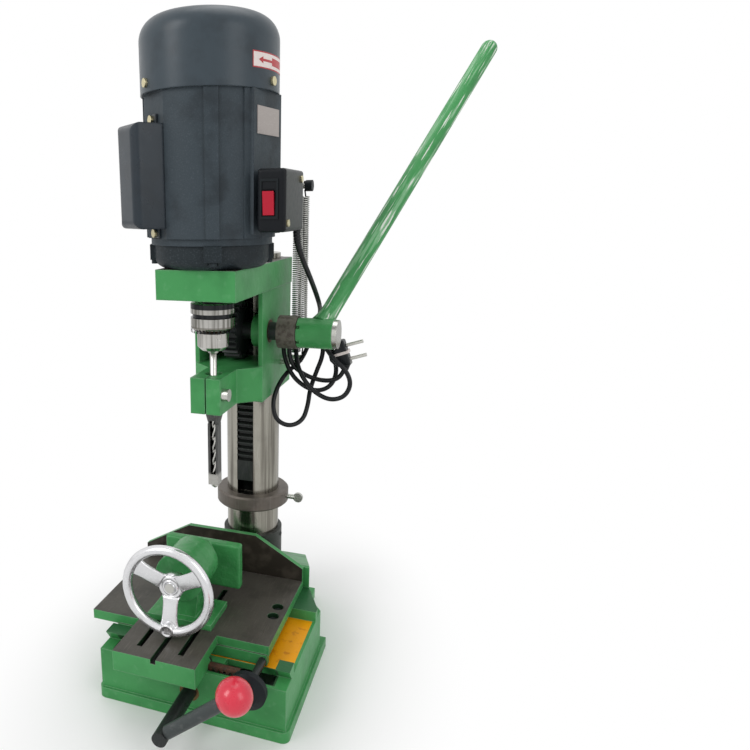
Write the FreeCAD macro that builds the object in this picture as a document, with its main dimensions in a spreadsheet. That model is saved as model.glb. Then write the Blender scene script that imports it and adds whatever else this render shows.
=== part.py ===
"""Benchtop mortiser: base and column, sliding head with motor, cross table and clamp.

Frame: millimetres, +Z up, the bench at z = 0, the column's axis on the Z axis,
the operator stands on the -Y side and +X is at the operator's right hand.
"""
import FreeCAD, Part
import math
import operator
import os
from types import SimpleNamespace

import Sketcher

Vector = FreeCAD.Vector
Rotation = FreeCAD.Rotation

SIZES = {
    # base casting
    "foot_width": 218, "foot_front": 219.7, "foot_height": 12.5, "foot_corner": 8,
    "foot_shoulder": 44, "foot_neck": 156, "foot_back": 64, "foot_tail": 140,
    "base_width": 211, "base_front": 216.4, "base_side_back": 63, "ledge_height": 59.6,
    "pedestal_front": 37.4, "pedestal_width": 170, "pedestal_back": 58,
    "pedestal_tail": 114, "pedestal_height": 99, "pedestal_low": 64, "pedestal_crest": 33,
    "base_wall": 5, "base_deck": 8, "column_boss": 90, "column_seat": 20,
    "way_height": 72.2, "way_crest": 203.5, "way_neck": 195, "way_back": 186,
    "rear_way_front": 88, "rear_way_side": 80,
    "well_left": 84, "well_right": 90, "well_back": 197, "gap_left": 10,
    # column, rack and sleeve
    "column_diameter": 65, "column_top": 476, "slot_width": 20, "slot_floor": 20,
    "slot_bottom": 182, "rack_bottom": 200.5, "rack_plain": 23.5, "rack_module": 2.5,
    "rack_gaps": 31, "rack_screw": 5, "rack_screw_head": 8.5, "rack_screw_low": 215,
    "rack_screw_high": 472, "rack_screw_end": 8,
    "sleeve_diameter": 74.4, "sleeve_top": 127.7,
    "sleeve_screw": 5, "sleeve_screw_height": 120,
    # depth stop
    "stop_diameter": 90.6, "stop_bottom": 164, "stop_height": 18, "stop_chamfer": 2,
    "thumb_shank": 6, "thumb_reach": 53.5, "thumb_wing": 12, "thumb_thick": 4,
    # spring post and springs
    "post_width": 46, "post_thick": 16, "post_top": 563, "spring_bolt_height": 551,
    "spring_pin": 7, "spring_spread": 14, "spring_x": 57.5, "spring_overhang": 1.6,
    "spring_pin_height": 350, "spring_diameter": 12, "spring_wire": 1.8, "spring_hook": 12,
    "knob_diameter": 12.5, "knob_length": 7.5,
    # head casting
    "head_width": 79, "head_back": 25, "head_bottom": 319, "head_top": 470,
    "cheek": 5, "cheek_front": 88, "deck_width": 83, "deck_front": 180, "deck_thick": 29.5,
    "throat_floor": 359, "arm_bottom": 321, "arm_top": 359, "arm_width": 33,
    "arm_front": 158, "arm_flare": 108, "arm_root": 88, "arm_slit": 1.5,
    "spindle_reach": 133.5, "deck_hole": 40, "clamp_bolt": 8, "clamp_bolt_head": 13,
    "clamp_bolt_reach": 150.5, "clamp_bolt_height": 341.5, "clamp_bolt_cap": 7,
    # feed shaft, pinion and lever
    "feed_reach": 60, "feed_height": 394, "feed_teeth": 24, "feed_pinion_width": 18,
    "feed_shaft": 20, "feed_bush": 26, "feed_boss": 36, "feed_boss_length": 17,
    "collar_start": 50.6, "collar_length": 21.2, "collar_diameter": 36.6,
    "hub_gap": 0.4, "hub_length": 39, "hub_diameter": 33, "hub_notch": 4,
    "end_ring_length": 5, "end_ring_diameter": 31.5,
    "lever_diameter": 19.5, "lever_root": 92.3, "lever_start": 14.6, "lever_end": 425,
    "lever_splay": 20.5, "lever_rise": 52.8,
    # motor
    "motor_diameter": 126, "motor_inner": 106, "motor_bottom": 493, "motor_top": 630,
    "motor_facet": 62, "pad_width": 55, "pad_bottom": 503, "left_facet": 59.5,
    "motor_cap": 12, "ring_diameter": 120.4, "ring_height": 6.5, "bell_diameter": 115,
    "rib_proud": 1.6, "rib_width": 13, "capacitor_facing": -40, "switch_facing": 80,
    "bell_floor": 8, "bell_round": 12, "bell_turn": 22, "lug_reach": 61.5, "lug_width": 17,
    "lug_height": 15, "motor_bolt": 4.4, "motor_bolt_head": 8.5, "motor_bolt_circle": 113.2,
    "mount_bolt": 8, "mount_bolt_head": 13, "mount_bolt_spread": 26,
    "bearing_outer": 32, "bearing_width": 10, "shaft_diameter": 15, "bell_nose": 28,
    "stator_outer": 105.6, "stator_inner": 70, "stator_bottom": 515, "stator_height": 75,
    "rotor_gap": 0.5, "fan_bottom": 652, "fan_height": 20, "fan_diameter": 116,
    "cover_diameter": 132.4, "cover_top": 698, "cover_wall": 2.2, "cover_round": 22,
    "cover_lap": 16, "cover_screw": 4, "cover_screw_head": 8, "cover_screw_height": 638,
    # capacitor cover and name plate
    "box_width": 41, "box_depth": 30, "box_bottom": 509, "box_top": 602, "box_wall": 2.6,
    "box_round": 7.5,
    "ear_length": 9, "ear_thick": 2, "ear_width": 18,
    "capacitor_width": 34, "capacitor_depth": 24, "capacitor_height": 64,
    "plate_width": 43, "plate_height": 24, "plate_bottom": 592, "plate_thick": 0.8,
    # switch
    "switch_left": 62, "switch_right": 88.5, "switch_front": 180, "switch_back": 115,
    "switch_bottom": 505.5, "switch_top": 561, "switch_wall": 2.5, "switch_round": 3, "switch_neck": 8,
    "rocker_width": 10.5, "rocker_height": 21, "rocker_depth": 7, "rocker_proud": 2.4,
    "rocker_middle": 531, "rocker_play": 0.5, "rocker_pin": 2, "rocker_pivot": 1.5, "switch_screw": 6.5,
    # chuck, auger and chisel
    "chuck_top": 434.5, "chuck_groove_top": 423.5, "chuck_groove": 419.3,
    "chuck_teeth": 404, "chuck_body_bottom": 385, "chuck_body": 32.8,
    "chuck_sleeve": 45.8, "chuck_socket": 20, "jaw_tip": 381.5, "jaw_round": 14,
    "auger_shank": 7.4, "auger_tip": 231, "chisel_side": 11.1, "chisel_bottom": 236,
    "chisel_neck": 18, "chisel_shoulder": 314, "chisel_square": 301, "chisel_top": 352,
    "chisel_bore": 8.4, "chisel_slot_low": 248, "chisel_slot_high": 309,
    "chisel_slot_width": 6,
    # cross table
    "table_x": -26.9, "table_top": 83.5, "table_thick": 11.2, "table_width": 209.5,
    "table_front": 184.5, "table_back": 45, "tongue_width": 93, "tongue_front": 245.5,
    "tongue_bottom": 60.5, "gib_thick": 4, "rib_depth": 7.5, "rib_bottom": 61,
    "rib_left": 73, "rib_right": 103, "slot_spread": 47, "table_slot": 6.2,
    "slot_front": 229, "slot_back": 95, "slot_lip": 5, "tee_width": 11, "tee_height": 4.4,
    "keyway": 6, "keyway_depth": 5, "keyway_back": 95, "key_back": 140,
    "table_rack_front": 210.4, "table_rack_width": 6.4, "table_rack_back": 65,
    "table_module": 2, "table_rack_gaps": 13, "table_rack_left": 4,
    "table_screw_x": 92.6, "table_screw_near": 128.7, "table_screw_far": 109.3,
    "table_screw_head": 9, "table_screw_sink": 13, "table_screw_shank": 6,
    "table_screw_depth": 4,
    "lock_x": 97.9, "lock_height": 66, "lock_stud": 9, "lock_knob": 40,
    "lock_knob_front": 243.5, "lock_knob_back": 229, "lock_neck": 18, "lock_neck_back": 222,
    # fence
    "fence_thick": 6.5, "fence_top": 134.5, "fence_crest": 89, "fence_shoulder": 100,
    "fence_screw": 6, "fence_screw_spread": 84, "fence_screw_length": 11,
    # table traverse
    "traverse_height": 32, "traverse_shaft": 15.6, "traverse_bush": 22,
    "traverse_teeth": 27, "traverse_end": 291, "traverse_back": 184,
    "traverse_lever_y": 283, "traverse_rod": 13.5, "traverse_tenon": 8,
    "traverse_rod_end": 84, "traverse_ball_reach": 97.8, "traverse_ball": 35,
    "traverse_angle": 40.4, "traverse_rib_front": 198,
    # clamp
    "clamp_width": 76, "clamp_front": 180, "clamp_back": 129, "clamp_foot": 7,
    "clamp_axis": 139, "clamp_barrel": 55.4, "barrel_front": 177, "barrel_back": 130,
    "clamp_web": 46, "web_taper": 8, "web_front": 171, "web_back": 136, "clamp_bolt_y": 147,
    "tee_bolt": 5.8, "tee_bolt_head": 10, "tee_bolt_nut": 11, "tee_bolt_nut_height": 5,
    "clamp_screw": 14, "screw_end": 113, "screw_tip": 10,
    "screw_nose": 10.6, "screw_nose_end": 201, "jaw_boss_back": 122, "jaw_boss": 30,
    "jaw_width": 93, "jaw_bottom": 96, "jaw_top": 151, "jaw_back": 110, "jaw_face": 98,
    "wheel_diameter": 104.5, "wheel_tube": 11, "wheel_plane": 206, "wheel_hub": 27,
    "hub_front": 199.5, "hub_back": 187, "spoke_width": 14, "spoke_thick": 5,
    "rim_boss": 12, "rim_boss_height": 8,
    # power cord and plug
    "cord_diameter": 5.2, "gland_flange": 7.6, "gland_neck": 6.4, "gland_height": 2,
    "gland_x": 84, "gland_y": 121.5, "plug_thick": 14, "plug_middle": 32, "plug_pin": 4,
    "plug_pin_length": 19, "plug_boot": 8.5,
    # clearances
    "running_fit": 0.05, "slide_gap": 0.1, "free_gap": 0.4,
}

OPERATIONS = {"+": operator.add, "-": operator.sub, "*": operator.mul, "/": operator.truediv}


def number(item):
    """The plain value of a size or a number."""
    return float(getattr(item, "value", item))


def formula(item):
    """The spreadsheet formula of a size or a number."""
    return getattr(item, "formula", f"({number(item):.10g})")


class Size:
    """A number that remembers the spreadsheet formula that gives it."""

    def __init__(self, value, text):
        self.value = value
        self.formula = text

    def __add__(self, other):
        return combine(self, "+", other)

    def __radd__(self, other):
        return combine(other, "+", self)

    def __sub__(self, other):
        return combine(self, "-", other)

    def __rsub__(self, other):
        return combine(other, "-", self)

    def __mul__(self, other):
        return combine(self, "*", other)

    def __rmul__(self, other):
        return combine(other, "*", self)

    def __truediv__(self, other):
        return combine(self, "/", other)

    def __neg__(self):
        return combine(0, "-", self)


def combine(left, sign, right):
    """Two sizes or numbers joined by one arithmetic sign."""
    value = OPERATIONS[sign](number(left), number(right))
    return Size(value, f"({formula(left)} {sign} {formula(right)})")


doc = FreeCAD.newDocument("Benchtop_mortiser")
sheet = doc.addObject("Spreadsheet::Sheet", "Sizes")
for row, (alias, value) in enumerate(SIZES.items(), start=1):
    sheet.set(f"A{row}", alias)
    sheet.set(f"B{row}", str(value))
    sheet.setAlias(f"B{row}", alias)
doc.recompute()
s = SimpleNamespace(**{alias: Size(value, f"Sizes.{alias}") for alias, value in SIZES.items()})

# turns that take a solid's own Z axis to each axis of the machine
TURN = {
    "X": Rotation(Vector(0, 1, 0), 90),
    "Y": Rotation(Vector(1, 0, 0), -90),
    "Z": Rotation(),
}


# ---------------------------------------------------------------- building blocks
def bind(item, prop, value):
    """Tie one property of a document object to the sheet."""
    item.setExpression(prop, formula(value))


def place(item, x=0, y=0, z=0, turn=None, angle=None):
    """Put an object in place; angle turns it about its own Z axis, bound to the sheet."""
    item.Placement = FreeCAD.Placement(Vector(number(x), number(y), number(z)), turn or Rotation())
    for letter, value in zip("xyz", (x, y, z)):
        bind(item, f".Placement.Base.{letter}", value)
    if angle is not None:
        item.Placement.Rotation = Rotation(Vector(0, 0, 1), number(angle))
        bind(item, ".Placement.Rotation.Angle", angle)
    return item


def box(name, x, y, z):
    """A block between a low and a high bound on each axis."""
    item = doc.addObject("Part::Box", name)
    for prop, (low, high) in zip(("Length", "Width", "Height"), (x, y, z)):
        bind(item, prop, high - low)
    return place(item, x[0], y[0], z[0])


def rod(name, axis, diameter, centre, span):
    """A cylinder along one axis; centre gives the two other coordinates in X, Y, Z order."""
    item = doc.addObject("Part::Cylinder", name)
    bind(item, "Radius", diameter / 2)
    bind(item, "Height", span[1] - span[0])
    spots = list(centre)
    spots.insert("XYZ".index(axis), span[0])
    return place(item, *spots, turn=TURN[axis])


def cut(name, base, *tools):
    """What is left of a solid when the tools are taken away."""
    item = doc.addObject("Part::Cut", name)
    item.Base = base
    item.Tool = tools[0] if len(tools) == 1 else fuse(f"{name}_tools", *tools)
    return item


def fuse(name, *solids):
    """Several solids made one."""
    item = doc.addObject("Part::MultiFuse", name)
    item.Shapes = list(solids)
    return item


def group(name, solids):
    """Separate solids of one kind in one node."""
    item = doc.addObject("Part::Compound", name)
    item.Links = list(solids)
    return item


def tube(name, axis, outer, inner, centre, span):
    """A ring or bush."""
    body = rod(f"{name}_outside", axis, outer, centre, span)
    hole = rod(f"{name}_hole", axis, inner, centre, span)
    return cut(name, body, hole)


class Casting:
    """A PartDesign body built from outlines that are padded, cut, turned and repeated."""

    PLANES = {"XY": "XY_Plane", "XZ": "XZ_Plane", "YZ": "YZ_Plane"}

    def __init__(self, name):
        self.body = doc.addObject("PartDesign::Body", name)
        self.count = 0

    def _origin(self, role):
        return next(item for item in self.body.Origin.OriginFeatures if item.Role == role)

    def _sketch(self, plane, offset):
        self.count += 1
        sketch = self.body.newObject("Sketcher::SketchObject", f"{self.body.Name}_sketch{self.count}")
        sketch.AttachmentSupport = [(self._origin(self.PLANES[plane]), "")]
        sketch.MapMode = "FlatFace"
        bind(sketch, ".AttachmentOffset.Base.z", offset)
        return sketch

    def _pin(self, sketch, geometry, point, spot):
        """Hold one point of a sketch at its two coordinates."""
        for kind, value in zip(("DistanceX", "DistanceY"), spot):
            index = sketch.addConstraint(
                Sketcher.Constraint(kind, -1, 1, geometry, point, number(value)))
            sketch.setExpression(f"Constraints[{index}]", formula(value))

    def _outline(self, plane, offset, points):
        sketch = self._sketch(plane, offset)
        spots = [Vector(number(a), number(b), 0) for a, b in points]
        count = len(spots)
        for start, end in zip(spots, spots[1:] + spots[:1]):
            sketch.addGeometry(Part.LineSegment(start, end), False)
        joints = [Sketcher.Constraint("Coincident", i, 2, (i + 1) % count, 1) for i in range(count)]
        sketch.addConstraint(joints)
        for index, spot in enumerate(points):
            self._pin(sketch, index, 1, spot)
        return sketch

    def _circle(self, plane, offset, centre, diameter):
        sketch = self._sketch(plane, offset)
        middle = Vector(number(centre[0]), number(centre[1]), 0)
        sketch.addGeometry(Part.Circle(middle, Vector(0, 0, 1), number(diameter) / 2), False)
        self._pin(sketch, 0, 3, centre)
        index = sketch.addConstraint(Sketcher.Constraint("Diameter", 0, number(diameter)))
        sketch.setExpression(f"Constraints[{index}]", formula(diameter))
        return sketch

    def _feature(self, kind, sketch, length=None):
        """Add a feature and make sure that it changed the solid."""
        before = self.body.Shape.Volume if self.body.Tip else 0.0
        feature = self.body.newObject(f"PartDesign::{kind}", f"{self.body.Name}_{kind}{self.count}")
        feature.Profile = sketch
        if length is not None:
            bind(feature, "Length", length)
        else:
            feature.ReferenceAxis = (sketch, ["V_Axis"])
            feature.Angle = 360
        doc.recompute()
        change = self.body.Shape.Volume - before
        if abs(change) < 0.01 or (change > 0) == (kind in ("Pocket", "Groove")):
            raise ValueError(f"{feature.Name} changed the volume by {change}")
        return feature

    def _start(self, plane, span, cutting):
        """The sketch offset from which a pad or a pocket covers the span."""
        towards_low = (plane == "XZ") != cutting
        edge = span[1] if towards_low else span[0]
        return -edge if plane == "XZ" else edge

    def pad(self, plane, span, points):
        sketch = self._outline(plane, self._start(plane, span, False), points)
        return self._feature("Pad", sketch, span[1] - span[0])

    def pocket(self, plane, span, points):
        sketch = self._outline(plane, self._start(plane, span, True), points)
        return self._feature("Pocket", sketch, span[1] - span[0])

    def pad_round(self, plane, span, centre, diameter):
        sketch = self._circle(plane, self._start(plane, span, False), centre, diameter)
        return self._feature("Pad", sketch, span[1] - span[0])

    def drill(self, plane, span, centre, diameter):
        sketch = self._circle(plane, self._start(plane, span, True), centre, diameter)
        return self._feature("Pocket", sketch, span[1] - span[0])

    def turn(self, points):
        """Turn an outline of (radius, height) points about the body's own Z axis."""
        return self._feature("Revolution", self._outline("XZ", 0, points))

    def turn_round(self, centre, diameter):
        """Turn a circle about the body's own Z axis."""
        return self._feature("Revolution", self._circle("XZ", 0, centre, diameter))

    def repeat(self, features, count):
        """Repeat features round the body's own Z axis."""
        pattern = self.body.newObject("PartDesign::PolarPattern", f"{self.body.Name}_pattern")
        pattern.Originals = features
        pattern.Axis = (self._origin("Z_Axis"), [""])
        pattern.Angle = 360
        pattern.Occurrences = count
        self.body.Tip = pattern
        doc.recompute()
        return pattern

    def round_edges(self, radius, pick):
        """Round the edges that pick chooses."""
        tip = self.body.Tip
        names = [f"Edge{i}" for i, edge in enumerate(tip.Shape.Edges, start=1) if pick(edge)]
        if not names:
            raise ValueError(f"{self.body.Name} has no edge to round")
        feature = self.body.newObject("PartDesign::Fillet", f"{self.body.Name}_rounded{self.count}")
        feature.Base = (tip, names)
        bind(feature, "Radius", radius)
        doc.recompute()
        return feature


def oblong(x, y):
    """The corners of a rectangle between two bounds on each axis."""
    return [(x[0], y[0]), (x[1], y[0]), (x[1], y[1]), (x[0], y[1])]


def both(half):
    """The two bounds of a width centred on the middle plane."""
    return (-half, half)


def upright(edge):
    """Whether an edge stands parallel to Z."""
    run = edge.lastVertex().Point - edge.firstVertex().Point
    return run.Length > 1 and abs(run.x) + abs(run.y) < 1e-6


def circle_at(diameter, height):
    """A test for a round edge of one diameter at one height."""
    def test(edge):
        if not isinstance(edge.Curve, Part.Circle):
            return False
        same = abs(edge.Curve.Radius - number(diameter) / 2) < 1e-3
        return same and abs(edge.Curve.Center.z - number(height)) < 1e-3
    return test


# ---------------------------------------------------------------- teeth
PRESSURE_ANGLE = math.radians(20)
ROOT_CLEARANCE = 1.25
BACKLASH = 0.16


def gear(name, module, teeth, width, bore):
    """A spur gear with involute flanks, its axis on Z and one tooth on +X."""
    module, teeth, width = number(module), int(number(teeth)), number(width)
    pitch = module * teeth / 2
    base = pitch * math.cos(PRESSURE_ANGLE)
    tip = pitch + module
    root = pitch - ROOT_CLEARANCE * module
    spread = math.tan(PRESSURE_ANGLE) - PRESSURE_ANGLE
    half_tooth = math.pi / (2 * teeth) - BACKLASH / (2 * pitch)

    def flank(radius, side, middle):
        roll = math.acos(min(1, base / radius))
        turn = middle + side * (half_tooth + spread - (math.tan(roll) - roll))
        return Vector(radius * math.cos(turn), radius * math.sin(turn), 0)

    def around(radius, angle):
        return Vector(radius * math.cos(angle), radius * math.sin(angle), 0)

    steps = [base + (tip - base) * i / 6 for i in range(7)]
    edges = []
    for tooth in range(teeth):
        middle = 2 * math.pi * tooth / teeth
        foot_turn = half_tooth + spread
        rise = Part.BSplineCurve()
        rise.interpolate([flank(radius, -1, middle) for radius in steps])
        fall = Part.BSplineCurve()
        fall.interpolate([flank(radius, 1, middle) for radius in reversed(steps)])
        low = around(root, middle - foot_turn)
        high = around(root, middle + foot_turn)
        following = around(root, middle + 2 * math.pi / teeth - foot_turn)
        edges += [
            Part.LineSegment(low, rise.StartPoint).toShape(),
            rise.toShape(),
            Part.Arc(rise.EndPoint, around(tip, middle), fall.StartPoint).toShape(),
            fall.toShape(),
            Part.LineSegment(fall.EndPoint, high).toShape(),
            Part.Arc(high, around(root, middle + math.pi / teeth), following).toShape(),
        ]
    disc = Part.Face(Part.Wire(edges)).extrude(Vector(0, 0, width))
    item = doc.addObject("Part::Feature", name)
    item.Shape = disc.cut(Part.makeCylinder(number(bore) / 2, width))
    return item


def rack_bar(name, module, gaps, lead, tail, width, back):
    """A rack along +X with its pitch line on y = 0, teeth towards +Y, width along +Z.

    The middle of the first tooth gap lies at x = 0; lead and tail are the bar's ends.
    """
    module, gaps = number(module), int(number(gaps))
    pitch = math.pi * module
    lean = math.tan(PRESSURE_ANGLE)
    tip = module
    root = -ROOT_CLEARANCE * module
    half_gap = pitch / 4 + BACKLASH / 2
    points = [Vector(-number(lead), -number(back), 0), Vector(-number(lead), tip, 0)]
    for gap in range(gaps):
        middle = gap * pitch
        points += [
            Vector(middle - half_gap - tip * lean, tip, 0),
            Vector(middle - half_gap - root * lean, root, 0),
            Vector(middle + half_gap + root * lean, root, 0),
            Vector(middle + half_gap + tip * lean, tip, 0),
        ]
    points += [Vector(number(tail), tip, 0), Vector(number(tail), -number(back), 0)]
    outline = Part.makePolygon(points + points[:1])
    item = doc.addObject("Part::Feature", name)
    item.Shape = Part.Face(outline).extrude(Vector(0, 0, number(width)))
    return item


# ---------------------------------------------------------------- base and column
def base_casting():
    """Hollow box with a ledge, a dovetail way, a recess, a rear way and a pedestal."""
    part = Casting("base_casting")
    foot = s.foot_width / 2
    part.pad("XY", (0, s.foot_height), [
        (-foot, -s.foot_front), (foot, -s.foot_front), (foot, -s.foot_shoulder),
        (s.foot_neck / 2, -s.foot_shoulder), (s.foot_tail / 2, s.foot_back),
        (-s.foot_tail / 2, s.foot_back), (-s.foot_neck / 2, -s.foot_shoulder),
        (-foot, -s.foot_shoulder)])
    part.round_edges(s.foot_corner, lambda edge: upright(edge) and edge.CenterOfMass.y < -100)
    side = s.base_width / 2
    part.pad("XY", (s.foot_height / 2, s.ledge_height), [
        (-side, -s.base_front), (side, -s.base_front), (side, -s.base_side_back),
        (s.pedestal_width / 2, -s.pedestal_front), (s.pedestal_tail / 2, s.pedestal_back),
        (-s.pedestal_tail / 2, s.pedestal_back), (-s.pedestal_width / 2, -s.pedestal_front),
        (-side, -s.base_side_back)])
    part.pad("XY", (s.foot_height, s.pedestal_height), [
        (-s.pedestal_width / 2, -s.pedestal_front), (s.pedestal_width / 2, -s.pedestal_front),
        (s.pedestal_tail / 2, s.pedestal_back), (-s.pedestal_tail / 2, s.pedestal_back)])
    part.pocket("YZ", both(side), [
        (-s.pedestal_crest, s.pedestal_height), (s.pedestal_back + 1, s.pedestal_low),
        (s.pedestal_back + 1, s.pedestal_height + 1), (-s.pedestal_crest, s.pedestal_height + 1)])
    part.pad("XY", (s.foot_height, s.way_height), [
        (-side, -s.rear_way_front), (side, -s.rear_way_front), (side, -s.rear_way_side),
        (s.pedestal_width / 2, -s.pedestal_front), (-s.pedestal_width / 2, -s.pedestal_front),
        (-side, -s.rear_way_side)])
    part.pad("YZ", both(side), [
        (-s.way_neck, s.ledge_height), (-s.way_crest, s.way_height),
        (-s.way_back, s.way_height), (-s.way_back, s.ledge_height)])
    wall = s.base_wall
    part.pocket("XY", (0, s.ledge_height - s.base_deck), [
        (-side + wall, -s.base_front + wall), (side - wall, -s.base_front + wall),
        (side - wall, -s.base_side_back - wall), (s.pedestal_width / 2 - wall * 2, -s.pedestal_front),
        (s.pedestal_tail / 2 - wall, s.pedestal_back - wall),
        (-s.pedestal_tail / 2 + wall, s.pedestal_back - wall),
        (-s.pedestal_width / 2 + wall * 2, -s.pedestal_front),
        (-side + wall, -s.base_side_back - wall)])
    part.pad_round("XY", (0, s.ledge_height - s.base_deck), (0, 0), s.column_boss)
    rib = s.traverse_bush
    part.pad("XY", (s.foot_height, s.ledge_height - s.base_deck),
             oblong(both(rib), (-s.traverse_rib_front, -s.way_back)))
    front = -s.base_front + wall
    part.pocket("XY", (0, s.ledge_height + 1), oblong((-s.well_left, s.well_right), (front, -s.well_back)))
    part.pocket("XY", (s.ledge_height - s.base_deck, s.way_height + 1),
                oblong((s.gap_left + s.traverse_bush, s.well_right), (front, -s.way_back)))
    part.pocket("XY", (s.ledge_height, s.way_height + 1),
                oblong((s.gap_left, s.well_right), (front, -s.way_back)))
    part.drill("XY", (s.column_seat, s.pedestal_height), (0, 0), s.column_diameter)
    part.drill("XY", (s.ledge_height, s.pedestal_height + 1), (0, 0), s.sleeve_diameter + 2 * s.free_gap)
    part.drill("XZ", (-s.base_front, -s.way_back), (0, s.traverse_height), s.traverse_bush)
    return part.body


def column():
    """Round column with a slot for the feed rack in its front."""
    bar = rod("column_bar", "Z", s.column_diameter, (0, 0), (s.column_seat, s.column_top))
    slot = box("column_slot", both(s.slot_width / 2), (-s.column_diameter, -s.slot_floor),
               (s.slot_bottom, s.column_top + 1))
    screws = rack_screw_shapes("column_screw_hole")
    return cut("column", bar, slot, *screws)


def rack_screw_shapes(name):
    """The two screws that hold the feed rack, as shank and head."""
    shapes = []
    for end, height in (("low", s.rack_screw_low), ("high", s.rack_screw_high)):
        shank = rod(f"{name}_{end}_shank", "Y", s.rack_screw, (0, height),
                    (-rack_face() + 3, -s.rack_screw_end))
        head = rod(f"{name}_{end}_head", "Y", s.rack_screw_head, (0, height),
                   (-rack_face() - 0.01, -rack_face() + 3.5))
        shapes.append(fuse(f"{name}_{end}", shank, head))
    return shapes


def rack_face():
    """How far the rack's tooth tips stand in front of the column's axis."""
    return s.column_diameter / 2


def feed_rack():
    """The rack in the column, with a plain lower end."""
    start = mesh_height()
    bar = rack_bar("feed_rack_bar", s.rack_module, s.rack_gaps,
                   start - s.rack_bottom, s.column_top - start,
                   s.slot_width - 2 * s.running_fit, rack_face() - s.rack_module - s.slot_floor)
    # own X (along the bar) goes up, own Y (teeth) to the front, own Z (width) to +X
    turn = Rotation(Vector(0, 0, 1), Vector(0, -1, 0), Vector(1, 0, 0), "XYZ")
    place(bar, -s.slot_width / 2 + s.running_fit, -(rack_face() - s.rack_module), start, turn=turn)
    return cut("feed_rack", bar, *rack_screw_shapes("feed_rack_hole"))


def mesh_height():
    """Height of the lowest tooth gap: whole pitches below the feed pinion's axis."""
    pitch = math.pi * s.rack_module
    gaps = int((number(s.feed_height) - number(s.rack_bottom) - number(s.rack_plain)) / number(pitch))
    return s.feed_height - gaps * pitch


def sleeve():
    """Dark tube round the column's foot, let into the pedestal."""
    outside = rod("sleeve_outside", "Z", s.sleeve_diameter, (0, 0), (s.ledge_height, s.sleeve_top))
    hole = rod("sleeve_hole", "Z", s.column_diameter, (0, 0), (s.ledge_height, s.sleeve_top))
    screw = rod("sleeve_screw_hole", "X", s.sleeve_screw, (0, s.sleeve_screw_height),
                (s.column_diameter / 2 - 1, s.sleeve_diameter / 2 + 1))
    return cut("column_sleeve", outside, hole, screw)


def column_screws():
    """Rack screws and the sleeve's set screw."""
    screw = rod("sleeve_set_screw", "X", s.sleeve_screw, (0, s.sleeve_screw_height),
                (s.column_diameter / 2, s.sleeve_diameter / 2 + 1))
    return group("column_screws", [*rack_screw_shapes("rack_screw"), screw])


def spring_post():
    """Flat post on the column's top, bored for the two spring bolts."""
    bar = box("spring_post_bar", both(s.post_thick / 2), both(s.post_width / 2),
              (s.column_top, s.post_top))
    holes = [rod(f"spring_post_hole{side:+d}", "X", s.spring_pin,
                 (side * s.spring_spread, s.spring_bolt_height), both(s.post_thick))
             for side in (-1, 1)]
    return cut("spring_post", bar, *holes)


def spring_bolts():
    """The two upper bolts that the springs hang from."""
    tip = s.spring_x + s.spring_overhang
    return group("spring_bolts", [
        rod(f"spring_bolt{side:+d}", "X", s.spring_pin, (side * s.spring_spread, s.spring_bolt_height),
            (-s.post_thick / 2, tip))
        for side in (-1, 1)])


def spring_knob():
    """Black knob on the end of the rear spring bolt."""
    start = s.spring_x + s.spring_overhang
    return rod("spring_knob", "X", s.knob_diameter, (s.spring_spread, s.spring_bolt_height),
               (start, start + s.knob_length))


def traverse_bushes():
    """Bushes in the base's front wall and inner rib."""
    bore = s.traverse_shaft + 2 * s.running_fit
    spans = {"front": (-s.base_front, -s.base_front + s.base_wall),
             "rear": (-s.traverse_rib_front, -s.way_back)}
    return group("traverse_bushes", [
        tube(f"traverse_bush_{end}", "Y", s.traverse_bush, bore, (0, s.traverse_height), span)
        for end, span in spans.items()])


# ---------------------------------------------------------------- depth stop
def depth_collar():
    part = Casting("depth_collar")
    bore = s.column_diameter / 2 + s.running_fit
    rim = s.stop_diameter / 2
    top = s.stop_bottom + s.stop_height
    edge = s.stop_chamfer
    part.turn([(bore, s.stop_bottom), (rim - edge, s.stop_bottom), (rim, s.stop_bottom + edge),
               (rim, top - edge), (rim - edge, top), (bore, top)])
    part.drill("YZ", (s.column_diameter / 2 - 1, rim + 1),
               (0, s.stop_bottom + s.stop_height / 2), s.thumb_shank + 2 * s.running_fit)
    return part.body


def depth_thumb_screw():
    """Winged screw in the depth collar's right side."""
    height = s.stop_bottom + s.stop_height / 2
    start = s.column_diameter / 2 + s.free_gap
    shank = rod("thumb_shank_rod", "X", s.thumb_shank, (0, height), (start, s.thumb_reach + 2))
    wing = rod("thumb_wing_disc", "Y", s.thumb_wing, (s.thumb_reach + s.thumb_wing / 2, height),
               both(s.thumb_thick / 2))
    return fuse("depth_thumb_screw", shank, wing)


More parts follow.
